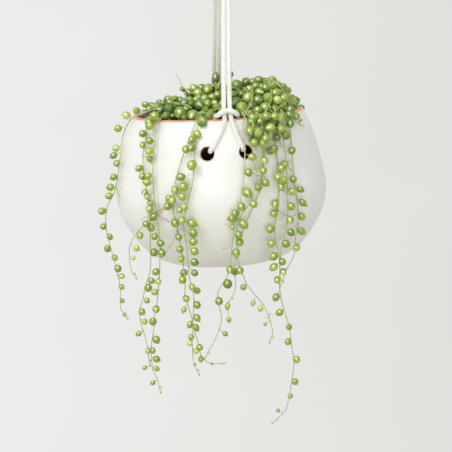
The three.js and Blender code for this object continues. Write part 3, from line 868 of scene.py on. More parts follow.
def soil_top(radius):
    """The height of the mix, domed towards the middle."""
    dome = math.cos(math.pi / 2 * min(1, radius / SOIL_RADIUS))
    return SOIL_EDGE + (SOIL_CROWN - SOIL_EDGE) * dome


def lumpy(vertices, size, depth):
    """Moves points by noise, as crumbs and clods do."""
    moved = np.array(vertices, float)
    for i, p in enumerate(moved):
        q = Vector(p / size)
        moved[i] += np.array(noise.noise_vector(q)) * depth
        moved[i] += np.array(noise.noise_vector(q * 3.1)) * depth * 0.4
    return moved


CRUMB_AROUND, CRUMB_UP = 7, 5
CRUMB_FLATTENING = 0.8
PERLITE_SHARE = 0.13
CLOD_SIZE = 7.0
CLOD_DEPTH = 0.9
ROOT_GAP = 0.9  # between the root ball or the mix's pocket and the surface where they meet


def crumb(centre, size, rng):
    """A small irregular lump."""
    vertices = []
    for i in range(CRUMB_UP):
        latitude = math.pi * (i + 0.5) / CRUMB_UP - math.pi / 2
        wide, high = math.cos(latitude), CRUMB_FLATTENING * math.sin(latitude)
        for a in ring_angles(CRUMB_AROUND):
            r = size * rng.uniform(0.7, 1.15)
            vertices.append(centre + r * np.array([math.cos(a) * wide, math.sin(a) * wide, high]))
    return np.array(vertices), capped_faces(CRUMB_UP, CRUMB_AROUND)


def soil_piece(name, profile, material, slot, node, segments, crumbs, seed):
    """A lumpy body of mix with loose crumbs and grains of perlite on its top."""
    rng = random.Random(seed)
    soup = Soup()
    vertices, faces = revolve(profile, segments)
    soup.add(from_bowl(lumpy(vertices, CLOD_SIZE, CLOD_DEPTH)), faces, (0, 0, 0, 1))
    radii = [r for r, h in profile if h > SOIL_EDGE - 1]
    low, high = min(radii), max(radii)
    for _ in range(crumbs):
        radius = math.sqrt(rng.uniform(low ** 2, high ** 2)) - 1.5
        white = rng.random() < PERLITE_SHARE
        size = rng.uniform(0.5, 1.3) if white else rng.uniform(0.5, 1.7)
        point = polar(rng.uniform(0, 360), max(radius, 0), soil_top(radius) + 0.3)
        shape, shape_faces = crumb(point, size, rng)
        soup.add(from_bowl(shape), shape_faces, (1.0 if white else 0.0, 0, 0, 1))
    soup.piece(name, [material], "planter", slot, node)


def add_mix(material):
    """The mix between the nursery pot and the root ball's pocket."""
    floor = NURSERY_BOTTOM - NURSERY_WALL - 1.4
    pocket_top = ROOT_TOP_RADIUS + ROOT_GAP
    pocket_foot = ROOT_FOOT_RADIUS + ROOT_GAP
    profile = [(0, -floor), (20, -floor)]
    for depth in np.linspace(floor, -SOIL_EDGE + 1, 22):
        profile.append((nursery_radius(depth) - NURSERY_WALL - 1.3, -depth))
    for radius in np.linspace(SOIL_RADIUS - 0.4, pocket_top, 12):
        profile.append((radius, soil_top(radius)))
    for share in np.linspace(0.15, 1, 8):
        profile.append((pocket_top + (pocket_foot - pocket_top) * share, -ROOT_DEPTH * share))
    profile += [(15, -ROOT_DEPTH - 1), (0, -ROOT_DEPTH - 1)]
    soil_piece(
        "crumbly_mix", profile, material, "soil", "potting_mix", segments=96, crumbs=420, seed=5,
    )


def add_root_ball(material):
    """The plant's roots and the mix that they hold, in the pocket of the mix."""
    top = ROOT_TOP_RADIUS - ROOT_GAP
    foot = ROOT_FOOT_RADIUS - ROOT_GAP
    profile = [(0, -ROOT_DEPTH + 1), (15, -ROOT_DEPTH + 1)]
    for share in np.linspace(1, 0.1, 12):
        profile.append((top + (foot - top) * share, -ROOT_DEPTH * share + 1))
    for radius in np.linspace(top, 2, 12):
        profile.append((radius, soil_top(radius)))
    profile.append((0, soil_top(0)))
    soil_piece(
        "matted_roots", profile, material, "roots", "root_ball", segments=80, crumbs=160, seed=6,
    )


# ----------------------------------------------------------------------- leaves

LEAF_AROUND = 16
WINDOW_TURN = 0.3  # radians to either side over which the clear window fades
# Sections of a leaf of radius 1: radius and height of its stalk, then of each kind of tip.
LEAF_STALK = [(0.09, -1.62), (0.085, -1.35), (0.11, -1.12), (0.2, -0.99)]
LEAF_TIPS = {
    "round": [
        (0.85, 0.53), (0.67, 0.74), (0.46, 0.9), (0.26, 1.0), (0.12, 1.1), (0.05, 1.2), (0.02, 1.25),
    ],
    "beaked": [
        (0.82, 0.5), (0.62, 0.76), (0.42, 0.98), (0.25, 1.15), (0.12, 1.31), (0.05, 1.43), (0.02, 1.48),
    ],
}


def leaf_paint(angle, radius, height):
    """The green window down one side of a leaf, and the blue of its stalk and tip."""
    turn = min(angle, 2 * math.pi - angle)
    window = math.exp(-(turn / WINDOW_TURN) ** 2) if -0.75 < height < 0.93 else 0.0
    stalk = 1.0 if height < -1.05 else 0.55 if height < -0.95 else 0.35 if radius < 0.13 else 0.0
    return 0.0, window, stalk, 1.0


def leaf_template(tip):
    """A round leaf of radius 1 on its stalk, its tip along +Z, with its painted channels."""
    latitudes = [math.radians(latitude) for latitude in range(-64, 17, 16)]
    body = [(math.cos(latitude), math.sin(latitude)) for latitude in latitudes]
    profile = LEAF_STALK + body + LEAF_TIPS[tip]
    vertices = []
    colours = []
    for radius, height in profile:
        for a in ring_angles(LEAF_AROUND):
            vertices.append((radius * math.cos(a), radius * math.sin(a), height))
            colours.append(leaf_paint(a, radius, height))
    return np.array(vertices), capped_faces(len(profile), LEAF_AROUND), np.array(colours)


LEAVES = {tip: leaf_template(tip) for tip in LEAF_TIPS}


def add_leaf(soup, centre, diameter, tip, paleness, rng, stretch=None, beaked=0.2):
    """One leaf with its tip pointing a given way, a little longer than it is wide.

    Stretch is its length over its width, and beaked is how often a leaf has the long tip.
    """
    vertices, faces, colours = LEAVES["beaked" if rng.random() < beaked else "round"]
    long = stretch or rng.uniform(0.98, 1.2)
    wide = diameter / 2 / long ** 0.33
    turn = Vector((0, 0, 1)).rotation_difference(Vector(unit(np.array(tip, float)))).to_matrix()
    spin = Matrix.Rotation(rng.uniform(0, 2 * math.pi), 3, "Z")
    shape = vertices * np.array([wide, wide * rng.uniform(0.95, 1.0), wide * long])
    shape = shape @ np.array(turn @ spin).T + centre
    colours = colours.copy()
    colours[:, 0] = paleness
    soup.add(shape, faces, colours)


NODE_SWELLING = 0.22
NODE_WAVE = 1.55  # length of stem for each radian of the wave that makes its nodes


def add_stem(soup, points, radius, age, sides=7, spacing=1.6, taper=0.55, nodes=True):
    """A stem with slight swellings at its nodes. Age, from start to end, is 0 for fresh green
    and 1 for dry root, and taper is the end's radius over the start's.
    """
    path = smooth_path(points, spacing)
    share = np.linspace(0, 1, len(path))
    radii = radius * (1 - (1 - taper) * share)
    if nodes:
        swelling = np.clip(np.sin(run_along(path) / NODE_WAVE), 0, 1) ** 6
        radii = radii * (1 + NODE_SWELLING * swelling)
    vertices, faces = tube(path, radii, sides)
    ages = np.repeat(np.interp(share, [0, 1], age), sides)
    soup.add(vertices, faces, red_paint(ages))
    return path


def add_stalk(stems, root, bend, end):
    """The short stalk that joins a leaf to its stem."""
    points = [root, bend, end]
    add_stem(stems, points, STALK_RADIUS, (0.1, 0.0), sides=5, spacing=0.8, taper=0.85, nodes=False)


# ------------------------------------------------------------------------ crown

# Leaves on the front of the mound, in the bowl's frame: x, y, height and diameter.
CROWN_LEAVES = [
    (-57, -8, 6, 6.6), (-50, -20, 8.5, 7.6), (-47, -34, 7.5, 7.2),
    (-52, -41, 3, 7.1), (-42, -50, 4, 7.0), (-39, -45, 9, 8.7),
    (-41, -13, 14, 7.7), (-35, -26, 15, 7.3), (-38, -34, 13, 6.7), (-45, -24, 12, 5.1),
    (-29, -54, 7, 10.8), (-27, -60, 3, 5.8), (-25, -50, 9, 7.5), (-33, -38, 11, 6.4),
    (-27, -42, 13, 6.7), (-19, -58, 4, 11.3), (-12, -64, 0, 8.6), (-12, -58, 5, 5.8),
    (-22, -38, 15, 6.7), (-21, -46, 12, 6.7), (-22, -24, 19.5, 7.8), (-18, -19, 22.5, 8.2),
    (-12, -22, 23, 7.6), (-15, -32, 20, 7.6), (-14, -40, 16, 6.7), (-13, -48, 12, 9.2),
    (-16, -42, 15, 5.9), (-6, -30, 23, 8.8), (-2, -28, 24, 5.1), (1, -28, 24, 7.6),
    (-9, -42, 16, 7.6), (-7, -50, 12, 6.7), (-3, -50, 12, 6.7), (-3, -42, 17, 6.7), (1, -40, 18, 7.6),
    (-9, -54, 8, 6.7), (-4, -58, 5, 8.3), (0, -54, 9, 7.5), (-7, -66, 3, 6.6), (18, -23, 24, 10.2),
    (14, -40, 18, 7.6), (20, -39, 18, 7.1), (26, -16, 26, 8.5), (31, -19, 26, 6.0), (36, -16, 27, 7.8),
    (33, -31, 23, 6.8), (29, -34, 21, 7.6), (17, -50, 12, 10.0), (22, -53, 9, 10.8),
    (27, -46, 15, 9.2), (29, -54, 9, 8.3), (34, -48, 13, 8.7), (36, -40, 19, 7.6), (42, -33, 22, 7.6),
    (48, 10, 24, 8.6), (52, -2, 21, 7.7), (45, -30, 22, 6.8), (57, 12, 18, 6.6), (61, 19, 14, 6.9),
    (42, -46, 14, 9.7), (49, -37, 17, 8.1), (50, -43, 12, 7.5), (56, -34, 12, 7.6), (60, -26, 7, 8.1),
    (54, -38, 7, 9.3), (61, -26, 3, 7.6), (62, -22, -1, 5.9), (33, -56, 6, 8.0), (40, -52, 7, 10.0),
    (48, -46, 5, 8.4), (29, -59, 1, 8.6), (22, -62, 3, 5.8), (37, -54, 0, 8.3), (45, -48, -1, 10.0),
    (52, -40, -2, 7.7),
]
# Outline of the crown seen from the front: x, and height in the plane through the bowl's axis.
CROWN_OUTLINE = [
    (-62, 0), (-52, 4), (-45, 6), (-40, 11), (-34, 12), (-31, 9.5), (-26, 10), (-23, 17), (-18, 22),
    (-6, 24), (7, 24.5), (19, 24), (27, 27), (43, 26), (53, 24), (58, 19), (62, 14), (65, 4),
]
# Left of this the front of the crown is a single row of leaves, with the mix and the rim showing.
BARE_END = -38
BARE_BACK = 30
FILL_RADIUS = 66
FILL_TRIES = 9000
FILL_OVERLAP = 0.93  # least distance between two leaves, as a share of their radii
LARGE_SHARE = 0.35  # of the tries, which comes first and places the larger leaves
TOP_SHARE = 0.6  # of the tries, which comes first and fills the top layer
STRAND_CLEARANCE = 0.3
WALL_GAP = 0.4
CROWN_STEMS = 70


def crown_height(x, y):
    """The top of the mound: its ridge, falling away to the front and the back."""
    fall = 1 - min(1, abs(y) / CROWN_RADIUS) ** 2.4
    return CROWN_EDGE_HEIGHT + (interpolate(CROWN_RIDGE, x) - CROWN_EDGE_HEIGHT) * fall


def hidden_height(x, y):
    """The height at which something starts to show above the crown's outline, seen from the front."""
    return interpolate(CROWN_OUTLINE, x) - y * math.tan(VIEW_ELEVATION)


def clear_of_rim(x, y, height, diameter):
    """A leaf that would sink into the rim hangs over its outer edge instead."""
    reach = math.hypot(x, y)
    if reach < RIM_RADIUS - BOWL_WALL - diameter / 2 or height > diameter * 0.45:
        return y
    out = bowl_radius(max(0.0, -height)) + diameter / 2 + 0.5
    return -math.sqrt(max(out ** 2 - x ** 2, 1.0)) if abs(x) < out else y


def near_strand(point, diameter):
    """Whether a leaf would touch the cords on their way up from the rim."""
    for start, end in STRANDS:
        along = end - start
        share = np.clip(np.dot(point - start, along) / along.dot(along), 0, 1)
        gap = np.linalg.norm(point - start - along * share)
        if gap < diameter / 2 + CORD_DIAMETER / 2 + STRAND_CLEARANCE:
            return True
    return False


def ease_apart(leaves, rounds=60):
    """Moves overlapping leaves apart, mostly front to back, so that each stays where it is seen."""
    places = np.array([leaf[:3] for leaf in leaves], float)
    radii = np.array([leaf[3] for leaf in leaves]) / 2
    give = np.array([0.25, 1.0, 0.25])
    for _ in range(rounds):
        apart = places[:, None] - places[None]
        distance = np.linalg.norm(apart, axis=2) + 1e-6
        overlap = (radii[:, None] + radii[None]) * 0.97 - distance
        np.fill_diagonal(overlap, 0)
        overlap = np.clip(overlap, 0, None)
        push = (apart / distance[:, :, None] * overlap[:, :, None]).sum(axis=1)
        places += 0.4 * push * give
    return [(*place, leaf[3]) for place, leaf in zip(places, leaves)]


def fill_leaf(attempt, rng):
    """A place in the crown's filling and a diameter, or None where no leaf may be."""
    angle = rng.uniform(0, 360)
    radius = FILL_RADIUS * math.sqrt(rng.random())
    large = attempt < FILL_TRIES * LARGE_SHARE
    diameter = rng.uniform(6.4, 9.6) if large else rng.uniform(5.2, 8.2)
    x, y, _ = polar(angle, radius, 0)
    top = crown_height(x, y) - diameter * rng.uniform(0.3, 0.85)
    top = min(top, hidden_height(x, y) - diameter * 0.5 - 0.8)
    if x < BARE_END and y < BARE_BACK:
        return None
    layer = 0 if attempt < FILL_TRIES * TOP_SHARE else rng.uniform(4, 12)
    floor = soil_top(radius) + diameter * 0.3 if radius < SOIL_RADIUS else diameter * 0.45
    point = np.array([x, y, max(top - layer, floor)])
    return None if near_strand(from_bowl(point)[0], diameter) else (point, diameter)


def crown_leaves(rng):
    """The listed leaves, then a packed fill over the rest of the mound."""
    placed = [(x, clear_of_rim(x, y, h, d), h - d * 0.12, d) for x, y, h, d in CROWN_LEAVES]
    placed = ease_apart(placed)
    centres = [np.array(leaf[:3]) for leaf in placed]
    sizes = [leaf[3] for leaf in placed]
    for attempt in range(FILL_TRIES):
        found = fill_leaf(attempt, rng)
        if found is None:
            continue
        point, diameter = found
        gaps = np.linalg.norm(np.array(centres) - point, axis=1)
        if (gaps >= FILL_OVERLAP * (np.array(sizes) + diameter) / 2).all():
            centres.append(point)
            sizes.append(diameter)
    return zip(centres, sizes)


def tuft_of(point):
    """Which sixth of the crown a point of the bowl's frame falls in."""
    return int(((bearing(point) % 360 + 30) % 360) // 60)


def crown_stem(rng):
    """A stem that wanders outwards through the crown, in the bowl's frame."""
    angle = rng.uniform(0, 360)
    radius = rng.uniform(8, 50)
    swing = rng.uniform(-16, 16)
    points = []
    for share in (0, 0.35, 0.7, 1.0):
        out = radius + share * rng.uniform(6, 16)
        x, y, _ = polar(angle + swing * share, out, 0)
        low = soil_top(out) if out < SOIL_RADIUS else 1.5
        top = min(crown_height(x, y) + 1.0, hidden_height(x, y) - 1.0)
        points.append((x, y, max(low, low + (top - low) * min(1, share * 1.5))))
    return points


def add_crown():
    """The crown's leaves and stems, gathered by tuft."""
    rng = random.Random(11)
    leaves = [Soup() for _ in CROWN_TUFTS]
    stems = [Soup() for _ in CROWN_TUFTS]
    for centre, diameter in crown_leaves(rng):
        x, y, height = centre
        outward = np.array([x * 0.02, y * 0.02, 0.45])
        tip = outward + np.array([rng.gauss(0, 0.8), rng.gauss(0, 0.8), rng.gauss(0, 0.6)])
        high = (height - CROWN_EDGE_HEIGHT) / 25
        usual = 0.4 + 0.08 * high + 0.1 * (x > 20) - 0.16 * (diameter > 9.9)
        paleness = min(0.95, max(0.04, rng.gauss(usual, 0.17)))
        soup = leaves[tuft_of(centre)]
        add_leaf(soup, from_bowl(centre)[0], diameter, BOWL_TURN @ tip, paleness, rng, beaked=0.25)
    for _ in range(CROWN_STEMS):
        points = crown_stem(rng)
        if any(near_strand(p, 1.5) for p in from_bowl(points)):
            continue
        radius = rng.uniform(0.4, 0.55)
        age = (0.0, rng.uniform(0.1, 0.4))
        add_stem(stems[tuft_of(points[0])], from_bowl(points), radius, age)
    return leaves, stems


# ------------------------------------------------------------------------ vines

# Each vine in front: how far its stem stands off the bowl, its stem and its leaves as (x, z), and
# where a leaf isn't of the usual size, its diameter. Roots are short aerial roots, each from one
# place to another.
VINES = {
    "far_left": dict(
        stand_off=3,
        stem=[
            (-72, -161), (-81.5, -176), (-83.5, -187), (-85, -200), (-89, -224), (-96, -240),
            (-97, -256), (-93, -274), (-89, -290), (-86, -303), (-85, -313), (-85, -326), (-80, -334),
        ],
        leaves=[
            (-70, -156, 6.4), (-79, -161, 7), (-86.5, -173, 6.6), (-88, -189), (-90, -195),
            (-87, -201), (-90, -213), (-93, -222), (-94, -229), (-100, -242, 6.8), (-99, -255),
            (-94, -265), (-96, -275, 6.8), (-90, -283), (-87, -291, 6.6), (-84, -298, 5.2),
            (-84, -307, 5), (-84, -320, 4.6), (-82, -332, 4),
        ],
        roots=[((-88, -222), (-85, -236))],
    ),
    "left_outer": dict(
        stand_off=3,
        stem=[
            (-62, -161), (-61, -174), (-64, -194), (-61, -218), (-58, -237), (-58, -260), (-58, -285),
            (-62, -299), (-64, -308), (-67, -321), (-66, -331), (-62, -344), (-60, -357), (-59, -365),
        ],
        leaves=[
            (-59, -164, 7.4), (-64, -173, 6.6), (-64, -182, 6), (-58, -193), (-67, -201), (-64, -207),
            (-62, -220), (-58, -229, 5), (-57, -249, 7), (-55, -271, 7), (-57, -294, 5.6),
            (-60, -301, 7), (-61, -311, 5), (-65, -320), (-63, -329, 5), (-68, -339, 5),
            (-60, -353, 5.4), (-63, -368, 4),
        ],
        branch_stem=[(-58, -242), (-66, -250), (-74, -262), (-75, -275), (-73, -285), (-70, -290)],
        branch_leaves=[(-61, -245, 6), (-66, -255, 6), (-69, -266, 5.4), (-72, -274, 4.2)],
        roots=[((-52.8, -235.7), (-66, -243)), ((-58, -222), (-60, -250)), ((-53, -236), (-44, -224))],
    ),
    "left_inner": dict(
        stand_off=5,
        stem=[
            (-51.5, -162), (-53.5, -174), (-55, -193), (-54.5, -218), (-52, -237), (-50, -259),
            (-50, -284), (-51, -298), (-52, -309), (-54, -320), (-55, -333), (-57, -346), (-57, -359),
            (-56, -369), (-53, -374), (-50, -386),
        ],
        leaves=[
            (-54, -158, 7.8), (-58, -166, 7), (-58, -178), (-58, -186), (-59, -206), (-60, -211),
            (-60, -223, 5), (-58, -233), (-55, -240, 7), (-54, -256), (-49, -261, 6.6), (-48, -269, 7),
            (-53, -285), (-51, -293, 5.4), (-54, -302), (-53, -316), (-56, -328, 6.8), (-53, -342),
            (-56, -351, 5.2), (-53, -359), (-53, -367, 5), (-56, -379, 4.4),
        ],
        roots=[((-51.1, -238.8), (-33.7, -246.6)), ((-52, -228), (-50, -240))],
    ),
    "middle_left_outer": dict(
        stand_off=3,
        stem=[
            (-20, -161), (-28, -182), (-36, -208), (-39, -229), (-35, -249), (-32, -266), (-29, -292),
            (-29, -305), (-27, -311), (-23, -325), (-21, -335), (-18, -345), (-16, -354), (-9, -361),
            (2, -361),
        ],
        leaves=[
            (-19, -171, 7), (-28, -183, 6.8), (-37, -216, 6.6), (-42, -223, 6), (-39, -224, 6.6),
            (-43, -230), (-37, -243, 7.4), (-34, -255), (-33, -265), (-32, -273), (-30, -286, 6.8),
            (-31, -291, 6.6), (-28, -306), (-30, -316, 5), (-25, -329), (-24, -339, 5.2), (-17, -347),
            (-16, -357, 5), (-7, -362, 2.6),
        ],
        roots=[
            ((-34.6, -248.4), (-48.8, -272.9)), ((-40, -228), (-52, -237)), ((-36, -250), (-27, -243)),
        ],
    ),
    "middle_left_inner": dict(
        stand_off=4.5,
        stem=[
            (-18, -161), (-21, -191), (-22, -208), (-26, -224), (-30, -245), (-27, -265), (-26, -282),
            (-25, -289), (-22, -301), (-22, -315), (-23, -334), (-23, -345), (-22, -358), (-18, -368),
        ],
        leaves=[
            (-15, -160, 8), (-23, -175, 6.6), (-23, -181, 7.2), (-23, -195, 8.8), (-32, -205, 7),
            (-30, -213, 8), (-31, -221, 6.6), (-33, -232, 5.6), (-29, -229, 6.4), (-31, -240, 7),
            (-23, -243, 7.4), (-22, -251, 7), (-22, -258, 6.8), (-21, -266, 6.8), (-21, -275, 6.6),
            (-21, -284), (-23, -295), (-19, -299), (-19, -310), (-19, -321), (-20, -330),
            (-25, -342, 5), (-20, -349, 4.8), (-21, -361, 3),
        ],
        roots=[((-27, -228), (-35, -231)), ((-26, -279), (-21, -281))],
    ),
    "middle_right_a": dict(
        stand_off=5.5,
        stem=[
            (21, -160), (20, -172), (20, -191), (19, -206), (17, -222), (15, -236), (12, -244),
            (10, -257), (8, -276), (6, -285), (-2, -300), (-1, -310), (1, -322), (-3, -336),
            (-12, -353),
        ],
        leaves=[
            (24, -168, 7.4), (26, -189, 6.6), (23, -201, 6.8), (22, -217, 8.4), (17, -228, 7.2),
            (12, -234, 6.4), (10, -239, 7), (10, -246, 4.6), (8, -280, 6.8), (6, -293, 8),
            (-1, -306, 6.8), (4, -334, 4.4),
        ],
        roots=[((12, -244), (4, -243)), ((8, -262), (1, -263)), ((19.4, -167.6), (13.7, -167.4))],
    ),
    "middle_right_b": dict(
        stand_off=8,
        stem=[
            (26, -161), (29, -183), (29, -206), (25, -224), (18, -234), (14, -243), (13, -253),
            (13, -263), (12, -279), (12, -298), (7, -307),
        ],
        leaves=[
            (27, -226, 6.8), (19, -243, 7.6), (15, -251, 6.6), (13, -266, 7), (12, -283),
            (6, -311, 4.8), (7, -322, 4.6),
        ],
        roots=[((25.9, -194.2), (30.8, -198.4)), ((26, -222), (20, -212))],
    ),
    "middle_right_c": dict(
        stand_off=3.5,
        stem=[
            (33, -162), (36, -184), (34, -207), (29, -225), (21, -243), (16, -258), (14, -271),
            (18, -284), (22, -294), (29, -303), (36, -312), (41, -324), (43, -334), (41, -341),
        ],
        leaves=[
            (28, -177, 7.4), (16, -258, 6.8), (16, -281, 6.6), (19, -296, 5.4), (27, -309, 4.4),
            (33, -314, 4.8), (37, -327, 3.2),
        ],
        roots=[((30, -200), (24, -196)), ((41, -318), (37, -322))],
    ),
    "short_right": dict(
        stand_off=5,
        stem=[(34, -160), (34, -177), (35, -192), (33, -204), (32, -216)],
        leaves=[
            (31, -169, 7), (35, -177, 6.6), (36, -192, 6.6), (35, -200, 6.4), (31, -213, 6.6),
            (37, -210, 6.4),
        ],
        roots=[((33, -205), (24, -200)), ((34, -199), (38, -206))],
    ),
    "right_a": dict(
        stand_off=3,
        stem=[
            (43, -163), (46, -185), (47, -201), (48, -219), (47, -234), (45, -244), (45, -256),
            (48, -269), (49, -283), (49, -299), (51, -311), (54, -321), (57, -332), (59, -347),
            (61, -361), (59, -379), (57, -391), (54, -402), (44, -412),
        ],
        leaves=[
            (37, -173, 7.4), (41, -185, 7), (50, -199, 7.4), (47, -206, 7), (50, -214, 7),
            (45, -228, 6.8), (44, -236, 6.4), (41, -249, 7), (42, -261, 6.8), (44, -272, 7),
            (44, -281, 6.8), (47, -291, 6.6), (46, -306, 6.4), (49, -319), (57, -332, 5.4),
            (56, -343, 6), (63, -358, 6.4), (62, -377, 5.8), (58, -389, 4.6), (48, -402, 3.4),
        ],
        roots=[
            ((47.3, -234.2), (62.4, -238.2)), ((43.3, -166.7), (53, -184)), ((50, -268), (52, -276)),
        ],
    ),
    "right_b": dict(
        stand_off=7,
        stem=[(49, -163), (53, -185), (55, -217), (55, -244), (53, -253), (50, -267), (49, -288)],
        leaves=[
            (41, -166, 7.6), (44, -183, 7), (52, -208, 7.2), (59, -218, 6.4), (58, -230, 7),
            (57, -241, 6.8), (58, -252, 6.6), (54, -262, 7), (51, -276, 6.2), (52, -285, 5),
        ],
        roots=[((51.4, -217.3), (58.1, -222.9)), ((48, -241), (51, -236))],
    ),
    "right_c": dict(
        stand_off=3,
        stem=[
            (56, -161), (59, -186), (61, -212), (64, -233), (64, -246), (62, -260), (61, -272),
            (55, -285), (50, -298),
        ],
        leaves=[
            (50, -168, 7), (54, -173, 7), (59, -186, 6.8), (53, -197, 7), (60, -209, 6.2),
            (66, -218, 5.8), (68, -229, 6.6), (67, -240, 6.6), (67, -253, 6.6), (63, -266, 6.2),
            (52, -286, 5.6),
        ],
        roots=[((56.5, -200.2), (60.7, -203)), ((60, -212), (63, -222))],
    ),
}
# Leaves of the crown that spill over the front of the rim: x, z and diameter.
SPILL = [
    (41.6, -162, 7.2), (40.8, -166, 8.6), (49.5, -166.5, 8.2), (53.5, -172, 7), (24.5, -168, 8.6),
    (31, -169, 8), (37, -172, 7), (27.5, -177, 8.2), (35, -177, 8.4), (46.5, -175, 6.6),
    (58, -165, 7.4), (63, -160, 6.8), (33, -162, 7.4), (26, -161, 7), (57, -158, 7.2),
    (51, -159, 7.8), (45, -157.5, 7.4), (37, -157, 7.6),
]
# Vines over the back of the rim: angle round from the front, and how far down they reach.
REAR_VINES = [(118, 55), (140, 85), (159, 110), (202, 75), (219, 105), (233, 60)]
REAR_STAND_OFF = 3.2
REAR_RIM_HEIGHTS = (4, 2.6)
OVER_RIM_RADII = (50, 61, 67.5, 71.5)
IN_CROWN_HEIGHTS = (6, 5.4)
USUAL_LEAF = 6.2
STEM_RADIUS = 0.55
STALK_RADIUS = 0.3
AERIAL_ROOT_RADIUS = 0.4
STALK_GAP = 0.9  # between a leaf and its own stem
STALK_REACH = 1.5  # from a leaf's middle to its stalk's end, in leaf radii


def drape(route, stand_off):
    """Gives (x, z) places their y: against the bowl down to its widest part, and hanging free below."""
    y = -RIM_RADIUS
    points = []
    for x, z in route:
        local = to_bowl((x, 0, z))[0]
        depth = -local[2]
        reach = bowl_radius(min(max(depth, 0), WIDEST_DEPTH)) + stand_off
        if (depth <= WIDEST_DEPTH or not points) and reach > abs(local[0]):
            y = -math.sqrt(reach ** 2 - local[0] ** 2)
        points.append((x, y, z))
    return points


def over_rim(angle, rim_heights):
    """The stretch of a stem from inside the crown over the rim, with its heights at the rim."""
    places = zip(OVER_RIM_RADII, (*IN_CROWN_HEIGHTS, *rim_heights))
    return [from_bowl(polar(angle, radius, height))[0] for radius, height in places]


def nearest(path, point):
    gaps = np.linalg.norm(path - point, axis=1)
    return path[int(np.argmin(gaps))]


def seen_depth(path, x, z):
    """The y of a stem where it passes closest to a place seen from the front."""
    gaps = np.hypot(path[:, 0] - x, path[:, 2] - z)
    return path[int(np.argmin(gaps)), 1]


def off_wall(point, diameter):
    """Moves a leaf out of the bowl's wall, straight towards the front."""
    local = to_bowl(point)[0]
    depth = -local[2]
    if depth > BOWL_HEIGHT:
        return point
    reach = bowl_radius(max(depth, 0)) + diameter / 2 + WALL_GAP
    if math.hypot(local[0], local[1]) < reach and abs(local[0]) < reach:
        point = point.copy()
        point[1] = -math.sqrt(reach ** 2 - local[0] ** 2)
    return point


HUNG_LEAVES = []  # places and diameters


def push_clear(point, diameter):
    """Moves a leaf forward until it is clear of the leaves that already hang there, and notes it."""
    point = point.copy()
    # The second time round clears leaves that the first brought it into.
    for other, other_diameter in HUNG_LEAVES * 2:
        reach = (diameter + other_diameter) / 2
        across = math.hypot(point[0] - other[0], point[2] - other[2])
        if across < reach:
            depth = math.sqrt(reach ** 2 - across ** 2)
            if abs(point[1] - other[1]) < depth:
                point[1] = other[1] - depth
    HUNG_LEAVES.append((point, diameter))
    return point


def hang_leaf(leaves, stems, path, place, rng):
    """One leaf beside or in front of its stem, joined to it by its stalk."""
    x, z, *size = place
    diameter = size[0] if size else USUAL_LEAF + rng.uniform(-0.5, 0.5)
    radius = diameter / 2
    point = np.array([x, seen_depth(path, x, z), z])
    gap = np.linalg.norm(nearest(path, point) - point)
    if gap < radius + STALK_GAP:
        behind = rng.random() < 0.35 and z < RIM_CENTRE[2] - WIDEST_DEPTH
        point[1] += (1 if behind else -1) * math.sqrt((radius + STALK_GAP) ** 2 - gap ** 2)
    point = push_clear(off_wall(point, diameter), diameter)
    root = nearest(path, point + np.array([0, 0, radius * 0.7]))
    away = unit(point - root)
    tip = unit(away + np.array([rng.gauss(0, 0.25), rng.gauss(0, 0.25) - 0.1, rng.gauss(0, 0.25) - 0.15]))
    young = 0.18 * (diameter < 5.6)
    paleness = min(0.95, max(0.05, rng.gauss(0.61 + young, 0.11)))
    add_leaf(leaves, point, diameter, tip, paleness, rng)
    end = point - tip * radius * STALK_REACH
    if np.linalg.norm(end - root) > 0.5:
        add_stalk(stems, root, (end + root) / 2 + np.array([0, 0, 0.25]), end)


def add_root(stems, start, end, rng, stand_off):
    """A short brown aerial root, wandering off from its stem."""
    (x0, z0), (x1, z1) = start, end
    middle = ((x0 + x1) / 2 + rng.uniform(-2, 2), (z0 + z1) / 2 - rng.uniform(0.5, 2.5))
    points = drape([start, middle, end], stand_off * 0.6)
    points = [off_wall(np.array(p), 0.6) for p in points]
    age = (0.5, rng.uniform(0.75, 1.0))
    add_stem(stems, points, AERIAL_ROOT_RADIUS, age, sides=5, spacing=1.2, taper=0.4, nodes=False)


def add_bud(leaves, path, rng):
    """The soft growing tip of a vine, with its last two tiny leaves."""
    along = unit(path[-1] - path[-4])
    last = path[-1] + along
    beside = path[-3] + np.array([1.1, -0.5, 0.2])
    add_leaf(leaves, last, 2.0, along, 0.8, rng, 1.5)
    add_leaf(leaves, beside, 1.7, along + np.array([0.7, 0, 0]), 0.8, rng, 1.4)


def save_vine(name, leaves, stems, leaf, stem):
    """Makes the stem and the leaves of a vine into pieces."""
    stems.piece(name + "_stem", [stem], "planter", "leaf_vine", "vine_" + name)
    leaves.piece(name + "_leaves", [leaf], "planter", "leaf_vine", "vine_" + name)


def add_vine(name, vine, leaf, stem, rng):
    """A vine in front of the bowl, each of its leaves in its own place."""
    stems = Soup()
    leaves = Soup()
    stand_off = vine["stand_off"]
    points = drape(vine["stem"], stand_off)
    lift = 0.9 + stand_off * 0.35
    points = over_rim(bearing(to_bowl(points[0])[0]), (lift + 1.6, lift + 0.3)) + points
    path = add_stem(stems, points, STEM_RADIUS, (0.2, 0.0))
    for place in vine["leaves"]:
        hang_leaf(leaves, stems, path, place, rng)
    add_bud(leaves, path, rng)
    if "branch_stem" in vine:
        points = drape(vine["branch_stem"], stand_off + 3)
        branch = add_stem(stems, points, STEM_RADIUS * 0.8, (0.15, 0.0))
        for place in vine["branch_leaves"]:
            hang_leaf(leaves, stems, branch, place, rng)
        add_bud(leaves, branch, rng)
    for start, end in vine["roots"]:
        add_root(stems, start, end, rng, stand_off)
    save_vine(name, leaves, stems, leaf, stem)


